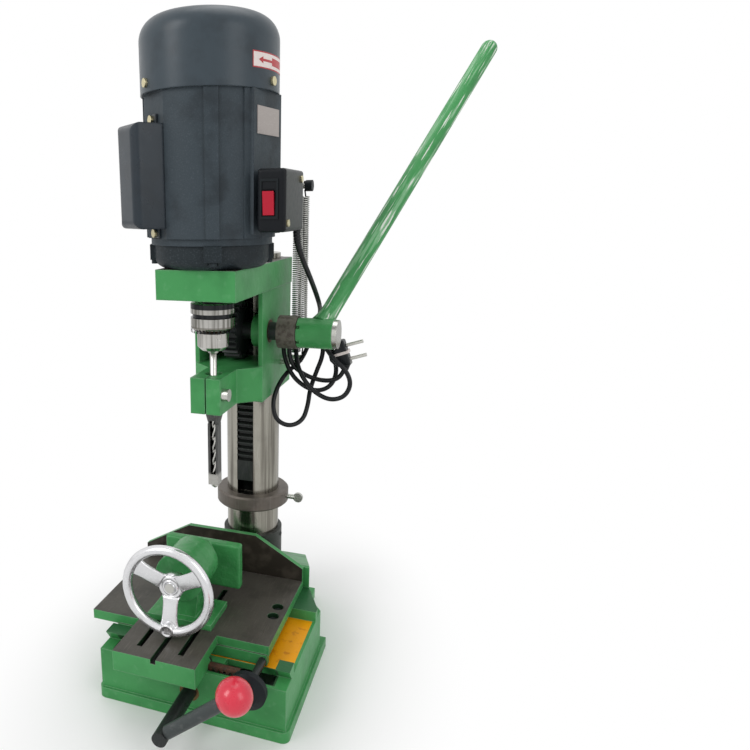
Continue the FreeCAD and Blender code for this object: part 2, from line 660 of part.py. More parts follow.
# ---------------------------------------------------------------- head
def head_casting():
    """Casting that slides on the column: deck, two cheeks, throat and split arm."""
    part = Casting("head_casting")
    half = s.head_width / 2
    height = (s.head_bottom, s.head_top)
    part.pad("XY", height, oblong(both(half), (-s.cheek_front, s.head_back)))
    part.pad_round("XY", height, (0, 0), s.head_width)
    deck_bottom = s.head_top - s.deck_thick
    part.pad("XY", (deck_bottom, s.head_top),
             oblong(both(s.deck_width / 2), (-s.deck_front, s.head_back - 3)))
    arm = s.arm_width / 2
    part.pad("XY", (s.arm_bottom, s.arm_top), [
        (-arm, -s.arm_front), (arm, -s.arm_front), (arm, -s.arm_flare), (half, -s.arm_root),
        (-half, -s.arm_root), (-arm, -s.arm_flare)])
    part.pocket("XY", (s.throat_floor, deck_bottom),
                oblong(both(half - s.cheek), (-s.cheek_front - s.cheek, -s.slot_floor + s.cheek)))
    inner = half - s.feed_boss_length
    feed = (-s.feed_reach, s.feed_height)
    part.pad_round("YZ", (inner, half), feed, s.feed_boss)
    part.pad_round("YZ", (-half, -inner), feed, s.feed_boss)
    part.drill("XY", height, (0, 0), s.column_diameter + 2 * s.running_fit)
    part.pocket("XY", height, oblong(both(s.slot_width / 2 + s.running_fit),
                                     (-s.column_diameter / 2 - s.free_gap, -s.slot_floor)))
    part.drill("YZ", both(half), feed, s.feed_bush)
    spindle = (0, -s.spindle_reach)
    part.drill("XY", (deck_bottom, s.head_top), spindle, s.deck_hole)
    part.drill("XY", (s.arm_bottom, s.arm_top), spindle, s.chisel_neck)
    part.pocket("XY", (s.arm_bottom, s.arm_top),
                oblong(both(s.arm_slit / 2), (-s.arm_front, -s.spindle_reach)))
    part.drill("YZ", both(arm), (-s.clamp_bolt_reach, s.clamp_bolt_height), s.clamp_bolt)
    for side in (-1, 1):
        spot = (side * s.spring_spread, s.spring_pin_height)
        part.drill("YZ", (half - s.cheek, half), spot, s.spring_pin)
        for front in (-1, 1):
            bolt = (side * s.mount_bolt_spread, front * s.mount_bolt_spread - s.spindle_reach)
            part.drill("XY", (deck_bottom, s.head_top), bolt, s.mount_bolt)
            part.drill("XY", (deck_bottom, deck_bottom + s.mount_bolt), bolt, s.mount_bolt_head)
    return part.body


def feed_bushes():
    half = s.head_width / 2
    inner = half - s.feed_boss_length
    bore = s.feed_shaft + 2 * s.running_fit
    return group("feed_bushes", [
        tube(f"feed_bush_{side}", "X", s.feed_bush, bore, (-s.feed_reach, s.feed_height), span)
        for side, span in (("right", (inner, half)), ("left", (-half, -inner)))])


def chisel_clamp_bolt():
    """Bolt that closes the slit of the arm on the chisel."""
    spot = (-s.clamp_bolt_reach, s.clamp_bolt_height)
    half = s.arm_width / 2
    shank = rod("clamp_bolt_shank", "X", s.clamp_bolt, spot, (-half, half + 1))
    head = rod("clamp_bolt_cap", "X", s.clamp_bolt_head, spot, (half, half + s.clamp_bolt_cap))
    return fuse("chisel_clamp_bolt", shank, head)


def spring_pins():
    """Pins in the head's right cheek that the springs pull on."""
    half = s.head_width / 2
    return group("spring_pins", [
        rod(f"spring_pin{side:+d}", "X", s.spring_pin,
            (side * s.spring_spread, s.spring_pin_height),
            (half - s.cheek, s.spring_x + s.spring_overhang))
        for side in (-1, 1)])


def return_spring(name, y):
    """One extension spring, as the tube that its coils fill, with a hook at each end."""
    low = s.spring_pin_height
    high = s.spring_bolt_height
    reach = s.spring_hook
    coil = tube(f"{name}_coil", "Z", s.spring_diameter, s.spring_diameter - 2 * s.spring_wire,
                (s.spring_x, y), (low + reach, high - reach))
    hook = s.spring_pin / 2 + s.free_gap + s.spring_wire / 2
    loops = []
    for end, height in (("low", low), ("high", high)):
        loop = doc.addObject("Part::Torus", f"{name}_hook_{end}")
        bind(loop, "Radius1", hook)
        bind(loop, "Radius2", s.spring_wire / 2)
        loops.append(place(loop, s.spring_x, y, height, turn=TURN["X"]))
    stems = [
        rod(f"{name}_stem_low", "Z", s.spring_wire, (s.spring_x, y), (low + hook, low + reach + 1)),
        rod(f"{name}_stem_high", "Z", s.spring_wire, (s.spring_x, y), (high - reach - 1, high - hook)),
    ]
    discs = [
        rod(f"{name}_end_low", "Z", s.spring_diameter, (s.spring_x, y),
            (low + reach, low + reach + s.spring_wire)),
        rod(f"{name}_end_high", "Z", s.spring_diameter, (s.spring_x, y),
            (high - reach - s.spring_wire, high - reach)),
    ]
    return fuse(name, coil, *loops, *stems, *discs)


def return_springs():
    """Both springs, one on each side of the column's middle plane."""
    return group("return_springs", [return_spring("front_spring", -s.spring_spread),
                                    return_spring("rear_spring", s.spring_spread)])


# ---------------------------------------------------------------- motor
def at_spindle(item, facing=None):
    """Stand an object on the spindle's axis, turned so that its own X faces outwards.

    A facing of zero looks to the operator and grows towards +X.
    """
    angle = None if facing is None else facing - 90
    return place(item, 0, -s.spindle_reach, 0, angle=angle)


def motor_end_bell():
    """Lower end shield with four bolt lugs and the lower bearing's seat."""
    part = Casting("motor_end_bell")
    rim = s.bell_diameter / 2
    bottom = s.head_top
    seat = s.bearing_outer / 2
    floor = bottom + s.bell_floor
    part.turn([(s.bell_nose / 2, bottom), (rim, bottom), (rim, s.motor_bottom),
               (s.motor_inner / 2, s.motor_bottom), (s.motor_inner / 2, floor),
               (seat + 5, floor), (seat + 5, floor + s.bearing_width), (seat, floor + s.bearing_width),
               (seat, floor - 1), (s.bell_nose / 2, floor - 1)])
    part.round_edges(s.bell_round, circle_at(s.bell_diameter, bottom))
    lug = part.pad("XY", (s.motor_bottom - s.lug_height, s.motor_bottom),
                   oblong((s.motor_inner / 2 + 1, s.lug_reach), both(s.lug_width / 2)))
    hole = part.drill("XY", (s.motor_bottom - s.lug_height, s.motor_bottom),
                      (s.motor_bolt_circle / 2, 0), s.motor_bolt)
    seat = part.drill("XY", (bottom, s.motor_bottom - s.lug_height), (s.motor_bolt_circle / 2, 0),
                      s.motor_bolt_head + 2 * s.free_gap)
    part.repeat([lug, hole, seat], 4)
    for x in (-1, 1):
        for y in (-1, 1):
            spot = turned_spot(x * number(s.mount_bolt_spread), y * number(s.mount_bolt_spread))
            part.drill("XY", (bottom, floor - 1), spot, s.mount_bolt)
    return at_spindle(part.body, s.bell_turn)


def turned_spot(x, y):
    """A point beside the spindle in the end bell's own turned frame."""
    angle = math.radians(90 - number(s.bell_turn))
    return (x * math.cos(angle) - y * math.sin(angle), x * math.sin(angle) + y * math.cos(angle))


def motor_housing():
    """Ribbed housing with a facet on the left, a pad on the right and a stepped-in foot."""
    low = s.motor_bottom + s.ring_height
    shell = rod("housing_shell", "Z", s.motor_diameter, (0, 0), (low, s.motor_top))
    ring = rod("housing_ring", "Z", s.ring_diameter, (0, 0), (s.motor_bottom, low))
    spigot = rod("housing_spigot", "Z", s.cover_diameter - 2 * s.cover_wall, (0, 0),
                 (s.motor_top, s.motor_top + s.cover_lap))
    ribs = [housing_rib(f"housing_rib{facing}", facing) for facing in RIB_FACINGS]
    pad = box("housing_pad", (0, s.motor_facet + 1), both(s.pad_width / 2), (s.pad_bottom, s.motor_top))
    place(pad, *offset_spot(s.switch_facing, s.pad_width), s.pad_bottom, angle=s.switch_facing - 90)
    flats = [housing_flat("housing_flat_left", s.capacitor_facing, s.left_facet),
             housing_flat("housing_flat_right", s.switch_facing, s.motor_facet)]
    faceted = cut("housing_faceted", fuse("housing_ribbed", shell, *ribs, pad), *flats)
    solid = fuse("housing_solid", faceted, ring, spigot)
    hollow = rod("housing_hollow", "Z", s.motor_inner, (0, 0),
                 (s.motor_bottom - 1, s.motor_top - s.motor_cap))
    seat = rod("housing_seat", "Z", s.bearing_outer, (0, 0),
               (s.motor_top - s.motor_cap - 1, s.motor_top + 1))
    well = rod("housing_well", "Z", s.motor_inner, (0, 0), (s.motor_top, s.motor_top + s.cover_lap + 1))
    bolts = [motor_bolt_shape(f"housing_bolt_hole{i}", i, s.motor_bottom - 1) for i in range(4)]
    screws = [cover_screw_shape(f"housing_screw_hole{i}", i, s.motor_bolt) for i in range(3)]
    return at_spindle(cut("motor_housing", solid, hollow, seat, well, *bolts, *screws))


RIB_FACINGS = (22, 55, 127, 153, 179, 205, 231, 257, 283)


def housing_rib(name, facing):
    """One upright rib on the housing."""
    low = s.motor_bottom + s.ring_height
    rib = box(name, (0, s.motor_diameter / 2 + s.rib_proud), both(s.rib_width / 2), (low, s.motor_top))
    return place(rib, *offset_spot(facing, s.rib_width), low, angle=facing - 90)


def offset_spot(facing, width):
    """The corner of a block of one width whose middle line faces outwards."""
    angle = math.radians(number(facing) - 90)
    return (width / 2 * math.sin(angle), -width / 2 * math.cos(angle))


def housing_flat(name, facing, reach):
    """The block that is cut away to leave one facet at that distance from the axis."""
    block = box(name, (0, s.motor_diameter / 2), both(s.motor_diameter / 2), (s.motor_bottom, s.motor_top))
    angle = math.radians(number(facing) - 90)
    x = reach * math.cos(angle) + s.motor_diameter / 2 * math.sin(angle)
    y = reach * math.sin(angle) - s.motor_diameter / 2 * math.cos(angle)
    return place(block, x, y, s.motor_bottom, angle=facing - 90)


def around_motor(index, count, start, radius):
    """A point on a circle round the motor's axis."""
    angle = math.radians(number(start) - 90 + index * 360 / count)
    return (radius * math.cos(angle), radius * math.sin(angle))


def motor_bolt_shape(name, index, low):
    """One through bolt's shank beside the motor's axis."""
    spot = around_motor(index, 4, s.bell_turn, s.motor_bolt_circle / 2)
    return rod(name, "Z", s.motor_bolt, spot, (low, s.motor_bottom + s.ring_height))


def lug_bolts():
    """The four bolts that hold the end bell to the housing."""
    bolts = []
    low = s.motor_bottom - s.lug_height
    for index in range(4):
        spot = around_motor(index, 4, s.bell_turn, s.motor_bolt_circle / 2)
        head = rod(f"motor_bolt_head{index}", "Z", s.motor_bolt_head, spot, (low - 4, low))
        shank = motor_bolt_shape(f"motor_bolt_shank{index}", index, low - 1)
        bolts.append(fuse(f"motor_bolt{index}", shank, head))
    return bolts


def motor_bolts():
    """All bolts of the motor: through its lugs and up through the deck."""
    return at_spindle(group("motor_bolts", [*lug_bolts(), *mount_bolts()]))


def cover_screw_shape(name, index, diameter):
    """One radial screw through the fan cover, every third of a turn."""
    screw = doc.addObject("Part::Cylinder", name)
    bind(screw, "Radius", diameter / 2)
    bind(screw, "Height", 8)
    angle = math.radians(number(s.capacitor_facing) - 90 + 120 * index)
    out = Vector(math.cos(angle), math.sin(angle), 0)
    reach = s.cover_diameter / 2 - 6
    place(screw, reach * out.x, reach * out.y, s.cover_screw_height, turn=Rotation(Vector(0, 0, 1), out))
    return screw


def fan_cover():
    """Domed sheet cover over the fan, with a ring of air slots in its top."""
    part = Casting("fan_cover")
    rim = s.cover_diameter / 2
    part.turn([(0, s.motor_top), (rim, s.motor_top), (rim, s.cover_top), (0, s.cover_top)])
    part.round_edges(s.cover_round, circle_at(s.cover_diameter, s.cover_top))
    inner = rim - s.cover_wall
    part.drill("XY", (s.motor_top, s.cover_top - s.cover_round), (0, 0), inner * 2)
    part.drill("XY", (s.motor_top, s.cover_top - s.cover_wall), (0, 0), (rim - s.cover_round) * 2)
    slot = part.pocket("XY", (s.cover_top - s.cover_wall - 1, s.cover_top + 1),
                       oblong((rim / 4, rim / 2 + 3), both(2.5)))
    part.repeat([slot], 12)
    holes = [cover_screw_shape(f"fan_cover_hole{i}", i, s.cover_screw) for i in range(3)]
    return at_spindle(cut("fan_cover_drilled", part.body, *holes))


def motor_screws():
    """Pan-head screws of the fan cover and of the capacitor cover."""
    screws = []
    for index in range(3):
        shank = cover_screw_shape(f"cover_screw_shank{index}", index, s.cover_screw)
        head = cover_screw_shape(f"cover_screw_head{index}", index, s.cover_screw_head)
        bind(head, "Height", 2.5)
        angle = math.radians(number(s.capacitor_facing) - 90 + 120 * index)
        reach = s.cover_diameter / 2
        bind(head, ".Placement.Base.x", reach * math.cos(angle))
        bind(head, ".Placement.Base.y", reach * math.sin(angle))
        screws.append(fuse(f"cover_screw{index}", shank, head))
    angle = math.radians(number(s.capacitor_facing) - 90)
    reach = s.left_facet + s.slide_gap + s.ear_thick
    middle = s.ear_length / 2
    for index, height in enumerate((s.box_bottom - middle, s.box_top + middle)):
        head = doc.addObject("Part::Cylinder", f"ear_screw{index}")
        bind(head, "Radius", s.cover_screw_head / 2)
        bind(head, "Height", 2.5)
        place(head, reach * math.cos(angle), reach * math.sin(angle), height,
              turn=Rotation(Vector(0, 0, 1), Vector(math.cos(angle), math.sin(angle), 0)))
        screws.append(head)
    return at_spindle(group("motor_screws", screws))


def cover_screws():
    """All small screws of the covers."""
    return group("cover_screws", [motor_screws(), *switch_screws()])


def stator():
    low = s.stator_bottom
    return at_spindle(tube("motor_stator", "Z", s.stator_outer, s.stator_inner, (0, 0),
                           (low, low + s.stator_height)))


def bearings():
    spans = ((s.head_top + s.bell_floor - 1, s.head_top + s.bell_floor + s.bearing_width),
             (s.motor_top - s.motor_cap, s.motor_top))
    return at_spindle(group("motor_bearings", [
        tube(f"motor_bearing{i}", "Z", s.bearing_outer, s.shaft_diameter + 2 * s.running_fit, (0, 0), span)
        for i, span in enumerate(spans)]))


def mount_bolts():
    """Four bolts that hold the end bell down on the deck."""
    bolts = []
    deck_bottom = s.head_top - s.deck_thick
    for x in (-1, 1):
        for y in (-1, 1):
            spot = (x * s.mount_bolt_spread, y * s.mount_bolt_spread)
            shank = rod(f"mount_shank{x:+d}{y:+d}", "Z", s.mount_bolt, spot,
                        (deck_bottom + 1, s.head_top + s.bell_floor - 1))
            head = rod(f"mount_head{x:+d}{y:+d}", "Z", s.mount_bolt_head, spot,
                       (deck_bottom, deck_bottom + s.mount_bolt))
            bolts.append(fuse(f"mount_bolt{x:+d}{y:+d}", shank, head))
    return bolts


def capacitor_cover():
    """Box with a rounded front and an ear above and below, on the left facet."""
    half = s.box_width / 2
    start = s.left_facet + s.slide_gap
    outside = box("capacitor_outside", (start, start + s.box_depth), both(half), (s.box_bottom, s.box_top))
    ears = box("capacitor_ears", (start, start + s.ear_thick), both(s.ear_width / 2),
               (s.box_bottom - s.ear_length, s.box_top + s.ear_length))
    inside = box("capacitor_inside", (start - 1, start + s.box_depth - s.box_wall),
                 both(half - s.box_wall), (s.box_bottom + s.box_wall, s.box_top - s.box_wall))
    rounded = doc.addObject("Part::Fillet", "capacitor_rounded")
    rounded.Base = outside
    doc.recompute()
    front = number(start + s.box_depth)
    edges = [i for i, edge in enumerate(outside.Shape.Edges, start=1)
             if abs(edge.CenterOfMass.x - front) < 1e-6]
    radius = number(s.box_round)
    rounded.Edges = [(i, radius, radius) for i in edges]
    solid = fuse("capacitor_solid", rounded, ears)
    return at_spindle(cut("capacitor_cover", solid, inside), s.capacitor_facing)


def capacitor():
    """Box capacitor under the cover."""
    start = s.left_facet + s.slide_gap + s.free_gap
    middle = (s.box_bottom + s.box_top) / 2
    can = box("capacitor_can", (start, start + s.capacitor_depth), both(s.capacitor_width / 2),
              (middle - s.capacitor_height / 2, middle + s.capacitor_height / 2))
    return at_spindle(group("capacitor", [can]), s.capacitor_facing)


def name_plate():
    """Bare plate on the right facet."""
    plate = box("plate_sheet", (s.motor_facet, s.motor_facet + s.plate_thick), both(s.plate_width / 2),
                (s.plate_bottom, s.plate_bottom + s.plate_height))
    return at_spindle(group("name_plate", [plate]), s.switch_facing)


# ---------------------------------------------------------------- switch
def switch_box():
    part = Casting("switch_box")
    part.pad("XY", (s.switch_bottom, s.switch_top),
             oblong((s.switch_left, s.switch_right), (-s.switch_front, -s.switch_back)))
    part.round_edges(s.switch_round, lambda edge: edge.Length > 1)
    neck = s.switch_neck
    part.pad("XY", (s.switch_bottom + neck, s.switch_top - neck), [
        (s.motor_facet - 4, -s.switch_front + 2 * neck), (s.switch_left + 1, -s.switch_front + 2 * neck),
        (s.switch_left + 1, -s.switch_back - neck), (s.motor_facet + 2, -s.switch_back - neck)])
    wall = s.switch_wall
    inside = (s.switch_bottom + wall, s.switch_top - wall)
    part.pocket("XY", inside, oblong((s.switch_left + wall, s.switch_right - wall),
                                     (-s.switch_front + wall, -s.switch_back - wall)))
    part.drill("XY", (s.switch_bottom, s.switch_bottom + wall), (s.gland_x, -s.gland_y), s.gland_neck)
    middle = rocker_x()
    width = s.rocker_width / 2 + s.rocker_play
    height = s.rocker_height / 2 + s.rocker_play
    part.pocket("XZ", (-s.switch_front, -s.switch_front + wall + 1),
                oblong((middle - width, middle + width),
                       (s.rocker_middle - height, s.rocker_middle + height)))
    motor_side = box("switch_motor_side", (0, s.motor_facet + s.slide_gap), both(s.motor_diameter),
                     (s.switch_bottom - 1, s.switch_top + 1))
    return cut("switch_box_fitted", part.body,
               at_spindle(group("switch_motor_room", [motor_side]), s.switch_facing))


def rocker_x():
    """The middle plane of the switch rocker."""
    return (s.switch_left + s.switch_right) / 2 - 2.4


def switch_rocker():
    """Red rocker, its upper half standing proud."""
    part = Casting("switch_rocker")
    half = s.rocker_height / 2
    face = -s.switch_front
    middle = rocker_x()
    part.pad("YZ", (middle - s.rocker_width / 2, middle + s.rocker_width / 2), [
        (face - 0.3, s.rocker_middle - half), (face - 1.2, s.rocker_middle),
        (face - s.rocker_proud, s.rocker_middle + half),
        (face + s.rocker_depth - 2, s.rocker_middle + half - 3),
        (face + s.rocker_depth, s.rocker_middle),
        (face + s.rocker_depth - 2, s.rocker_middle - half + 3)])
    reach = s.rocker_width / 2 + s.rocker_play - s.slide_gap
    part.pad_round("YZ", (middle - reach, middle + reach), (face + s.rocker_pivot, s.rocker_middle),
                   s.rocker_pin)
    return part.body


def switch_screws():
    """Two screw heads on the switch box's right side."""
    spots = ((-s.switch_front + 8, s.switch_bottom + 8), (-s.switch_back - 10, s.switch_top - 8))
    return [rod(f"switch_screw{i}", "X", s.switch_screw, spot, (s.switch_right, s.switch_right + 1.5))
            for i, spot in enumerate(spots)]


# ---------------------------------------------------------------- power cord
# Corners of the cord's way from the switch box down behind the hub, round the three loops
# of the hank and up into the plug. Each corner is rounded by an arc between straight runs.
CORD_ROUTE = (
    (84, -121.5, 507), (84, -121.5, 496), (87.5, -112, 478), (90.5, -92, 459), (91.5, -66, 439),
    (90, -40, 423), (86, -16, 410.5), (79.5, -6, 396), (73.5, -8, 381), (70.5, -16, 366),
    (65, -26, 353), (53, -27.5, 343), (47, -38, 334), (43.5, -51, 322), (42.7, -59, 308),
    (47.5, -61.5, 291.5), (62.5, -57.5, 284), (75.5, -46.5, 289.5), (78.5, -36, 306),
    (78, -27, 321), (84, -22.5, 342), (90.5, -18.5, 360.5), (90.5, -18.5, 379), (78, -20, 396),
    (61.5, -26.5, 397.5), (48.5, -27.5, 386), (46, -30, 369.5), (51, -33.5, 353),
    (60, -37, 338.5), (73.5, -38.5, 328), (89, -38, 323), (103.5, -34, 328.5),
    (108.5, -24, 342.5), (104.5, -19, 359), (99.5, -24, 376.5), (88, -26.5, 388.3),
    (72, -27, 388.3), (61.5, -28.5, 376.5), (62.5, -33, 361.5), (68, -41.5, 348.5),
    (78, -47, 334.5), (90.5, -47.5, 323), (106.5, -47.5, 316.5), (122.5, -47, 321.5),
    (129.5, -47, 337), (123, -47, 352.5), (109, -45, 363), (97.5, -40, 375.5), (85, -36, 389.5),
    (69, -35.5, 391), (56.5, -35.5, 380.5), (54.5, -36, 366), (59.5, -36, 350.5),
    (73.5, -35, 340.5), (89, -32, 335), (104.5, -31, 335), (115.8, -32, 342), (120.2, -32, 354.5),
)
# How much of the shorter run beside a corner its arc takes.
CORNER_SHARE = 0.45
# The plug seen from the front, and where its two pins leave it.
PLUG_OUTLINE = ((111.4, 383), (116.9, 384), (126.9, 356), (110.4, 352.5),
                (102.9, 359), (100.9, 366), (107.4, 372))
PLUG_PINS = ((119.9, 377.5), (124.4, 362.5))
PLUG_PIN_TURN = 18


def cord_path():
    """Straight runs joined by tangent arcs, as one wire."""
    corners = [Vector(*corner) for corner in CORD_ROUTE]
    edges = []
    start = corners[0]
    tightest = math.inf
    for before, corner, after in zip(corners, corners[1:], corners[2:]):
        into = (corner - before).normalize()
        out = (after - corner).normalize()
        turn = into.getAngle(out)
        share = CORNER_SHARE * min(before.distanceToPoint(corner), corner.distanceToPoint(after))
        radius = share / math.tan(turn / 2)
        tightest = min(tightest, radius)
        enter = corner - into * share
        leave = corner + out * share
        centre_way = (out - into).normalize()
        depth = radius / math.cos(turn / 2) - radius
        edges += [Part.LineSegment(start, enter).toShape(),
                  Part.Arc(enter, corner + centre_way * depth, leave).toShape()]
        start = leave
    edges.append(Part.LineSegment(start, corners[-1]).toShape())
    wire = Part.Wire(edges)
    print(f"power_cord: {wire.Length:.0f} mm long, tightest bend {tightest:.1f} mm")
    return wire


def power_cord():
    """The cord as a round tube along its path."""
    path = cord_path()
    first = Vector(*CORD_ROUTE[1]) - Vector(*CORD_ROUTE[0])
    ring = Part.Circle(Vector(*CORD_ROUTE[0]), first, number(s.cord_diameter) / 2).toShape()
    item = doc.addObject("Part::Feature", "power_cord")
    item.Shape = path.makePipeShell([Part.Wire(ring)], True, False)
    return item


def cord_gland():
    """Grommet in the switch box's floor."""
    spot = (s.gland_x, -s.gland_y)
    low = s.switch_bottom - s.gland_height
    flange = rod("gland_flange", "Z", s.gland_flange, spot, (low, s.switch_bottom))
    neck = rod("gland_neck", "Z", s.gland_neck, spot, (low, s.switch_bottom + s.switch_wall))
    hole = rod("gland_hole", "Z", s.cord_diameter + 2 * s.slide_gap, spot,
               (low - 1, s.switch_bottom + s.switch_wall + 1))
    return cut("cord_gland", fuse("gland_solid", flange, neck), hole)


def towards(name, diameter, start, way, span):
    """A cylinder from a start point along a direction, between two distances."""
    item = doc.addObject("Part::Cylinder", name)
    bind(item, "Radius", diameter / 2)
    bind(item, "Height", span[1] - span[0])
    spot = start + way * span[0]
    return place(item, spot.x, spot.y, spot.z, turn=Rotation(Vector(0, 0, 1), way))


def power_plug():
    """Moulded two-pin plug with a short boot round the cord's end."""
    middle = -s.plug_middle
    half = s.plug_thick / 2
    part = Casting("plug_body")
    part.pad("XZ", (middle - half, middle + half), PLUG_OUTLINE)
    part.round_edges(2, lambda edge: edge.Length > 1)
    end = Vector(*CORD_ROUTE[-1])
    way = (end - Vector(*CORD_ROUTE[-2])).normalize()
    boot = towards("plug_boot", s.plug_boot, end, way, (-4, 3))
    hole = towards("plug_cord_hole", s.cord_diameter + 2 * s.slide_gap, end, way, (-5, 0))
    angle = math.radians(PLUG_PIN_TURN)
    out = Vector(math.cos(angle), 0, math.sin(angle))
    pins = [towards(f"plug_pin{i}", s.plug_pin, Vector(x, number(middle), z), out,
                    (-3, number(s.plug_pin_length)))
            for i, (x, z) in enumerate(PLUG_PINS)]
    return cut("power_plug", fuse("plug_solid", part.body, boot, *pins), hole)


# ---------------------------------------------------------------- spindle
def rotor():
    """Motor shaft with the rotor pack, its nose fits the chuck."""
    shaft = rod("rotor_shaft", "Z", s.shaft_diameter, (0, 0), (s.head_top, s.fan_bottom + s.fan_height))
    nose = rod("rotor_nose", "Z", s.chuck_socket, (0, 0), (s.chuck_top - 18, s.head_top + 4))
    low = s.stator_bottom
    pack = rod("rotor_pack", "Z", s.stator_inner - 2 * s.rotor_gap, (0, 0), (low, low + s.stator_height))
    return at_spindle(fuse("rotor", shaft, nose, pack))


def motor_fan():
    part = Casting("motor_fan")
    bore = s.shaft_diameter / 2
    disc = s.fan_diameter / 2
    part.turn([(bore, s.fan_bottom), (disc, s.fan_bottom), (disc, s.fan_bottom + 3),
               (bore + 6, s.fan_bottom + 3), (bore + 6, s.fan_bottom + s.fan_height / 2),
               (bore, s.fan_bottom + s.fan_height / 2)])
    blade = part.pad("XY", (s.fan_bottom + 2, s.fan_bottom + s.fan_height),
                     oblong((bore + 5, disc - 2), (-1, 1)))
    part.repeat([blade], 8)
    return at_spindle(part.body)


def chuck_body():
    """Body of the drill chuck, from its top down to the nose."""
    part = Casting("chuck_body")
    grip = s.chuck_body / 2
    rim = s.chuck_sleeve / 2
    hole = s.jaw_round / 2
    socket = s.chuck_socket / 2
    step = s.chuck_top - 18
    part.turn([(socket, s.chuck_top), (rim - 1, s.chuck_top), (rim, s.chuck_top - 1),
               (rim, s.chuck_groove_top), (rim - 2, s.chuck_groove_top), (rim - 2, s.chuck_groove),
               (grip, s.chuck_groove), (grip, s.chuck_body_bottom + 4),
               (grip - 4, s.chuck_body_bottom), (hole, s.chuck_body_bottom), (hole, step), (socket, step)])
    return at_spindle(part.body)


def chuck_sleeve():
    """Geared sleeve that the chuck key turns."""
    part = Casting("chuck_sleeve")
    grip = s.chuck_body / 2
    rim = s.chuck_sleeve / 2
    part.turn([(grip, s.chuck_groove), (rim, s.chuck_groove), (rim, s.chuck_teeth + 5),
               (grip + 1, s.chuck_teeth), (grip, s.chuck_teeth)])
    tooth = part.pocket("XY", (s.chuck_teeth, s.chuck_teeth + 4), oblong((rim - 4, rim + 1), (-1.1, 1.1)))
    part.repeat([tooth], 30)
    return at_spindle(part.body)


def chuck_jaws():
    """Three jaws round the auger's shank, each a third of a ring with gaps between."""
    part = Casting("chuck_jaws")
    inner = s.auger_shank / 2
    outer = s.jaw_round / 2
    part.turn([(inner, s.jaw_tip), (inner + 1.5, s.jaw_tip), (outer, s.chuck_body_bottom),
               (outer, s.chuck_body_bottom + 20), (inner, s.chuck_body_bottom + 20)])
    gap = part.pocket("XY", (s.jaw_tip, s.chuck_body_bottom + 20), oblong((0, outer + 1), (-0.4, 0.4)))
    part.repeat([gap], 3)
    return at_spindle(part.body)


def auger_bit():
    """Auger inside the hollow chisel, with its point below it."""
    part = Casting("auger_bit")
    shank = s.auger_shank / 2
    part.turn([(0, s.auger_tip), (shank - 0.4, s.auger_tip + 3), (shank - 0.2, s.auger_tip + 8),
               (shank, s.chisel_top + 3), (shank, s.chuck_body_bottom + 20), (0, s.chuck_body_bottom + 20)])
    return at_spindle(part.body)


def chisel():
    """Hollow square chisel with a round shank and a chip slot."""
    neck = rod("chisel_shank", "Z", s.chisel_neck, (0, 0), (s.chisel_shoulder, s.chisel_top))
    cone = doc.addObject("Part::Cone", "chisel_cone")
    bind(cone, "Radius1", s.chisel_side / 2)
    bind(cone, "Radius2", s.chisel_neck / 2)
    bind(cone, "Height", s.chisel_shoulder - s.chisel_square)
    place(cone, 0, 0, s.chisel_square)
    half = s.chisel_side / 2
    square = box("chisel_square_bar", both(half), both(half), (s.chisel_bottom, s.chisel_square + 4))
    bore = rod("chisel_hollow", "Z", s.chisel_bore, (0, 0), (s.chisel_bottom - 1, s.chisel_top + 1))
    window = box("chisel_window", both(s.chisel_slot_width / 2), (-s.chisel_neck, 0),
                 (s.chisel_slot_low, s.chisel_slot_high))
    return at_spindle(cut("mortise_chisel", fuse("chisel_solid", neck, cone, square), bore, window))


# ---------------------------------------------------------------- feed lever
def feed_line():
    """The feed shaft's axis as its Y and Z coordinates."""
    return (-s.feed_reach, s.feed_height)


def feed_shaft():
    half = s.head_width / 2
    return rod("feed_shaft", "X", s.feed_shaft, feed_line(), (-half - 3, hub_start() + s.hub_length))


def hub_start():
    """Where the hub begins, beside the clutch collar."""
    return s.collar_start + s.collar_length + s.hub_gap


def feed_pinion():
    """Pinion on the feed shaft, one tooth in the rack's gap."""
    item = gear("feed_pinion", s.rack_module, s.feed_teeth, s.feed_pinion_width, s.feed_shaft)
    # own Z goes along +X and own X, with its tooth, to +Y
    turn = Rotation(Vector(0, 1, 0), Vector(0, 0, 1), Vector(1, 0, 0), "XYZ")
    return place(item, -s.feed_pinion_width / 2, *feed_line(), turn=turn)


def feed_collar():
    return tube("feed_collar", "X", s.collar_diameter, s.feed_shaft, feed_line(),
                (s.collar_start, s.collar_start + s.collar_length))


def lever_direction():
    """Unit vector along the feed lever at rest."""
    splay = math.radians(number(s.lever_splay))
    rise = math.radians(number(s.lever_rise))
    flat = math.cos(splay)
    return Vector(math.sin(splay), flat * math.cos(rise), flat * math.sin(rise))


def lever_shape(name, start, end, diameter):
    """A rod along the feed lever's line, between two distances from the shaft's axis."""
    along = lever_direction()
    item = doc.addObject("Part::Cylinder", name)
    bind(item, "Radius", diameter / 2)
    bind(item, "Height", end - start)
    place(item, s.lever_root + start * along.x, start * along.y - s.feed_reach,
          s.feed_height + start * along.z, turn=Rotation(Vector(0, 0, 1), along))
    return item


def feed_hub():
    """Green hub with square clutch notches, bored for the shaft and the lever."""
    part = Casting("feed_hub_blank")
    part.turn([(s.feed_shaft / 2, 0), (s.hub_diameter / 2, 0), (s.hub_diameter / 2, s.hub_length),
               (s.feed_shaft / 2, s.hub_length)])
    notch = part.pocket("XY", (0, s.hub_notch), oblong((s.hub_diameter / 2 - 3, s.hub_diameter), (-2, 2)))
    part.repeat([notch], 6)
    place(part.body, hub_start(), *feed_line(), turn=TURN["X"])
    socket = lever_shape("feed_hub_socket", s.lever_start, s.lever_end, s.lever_diameter)
    return cut("feed_hub", part.body, socket)


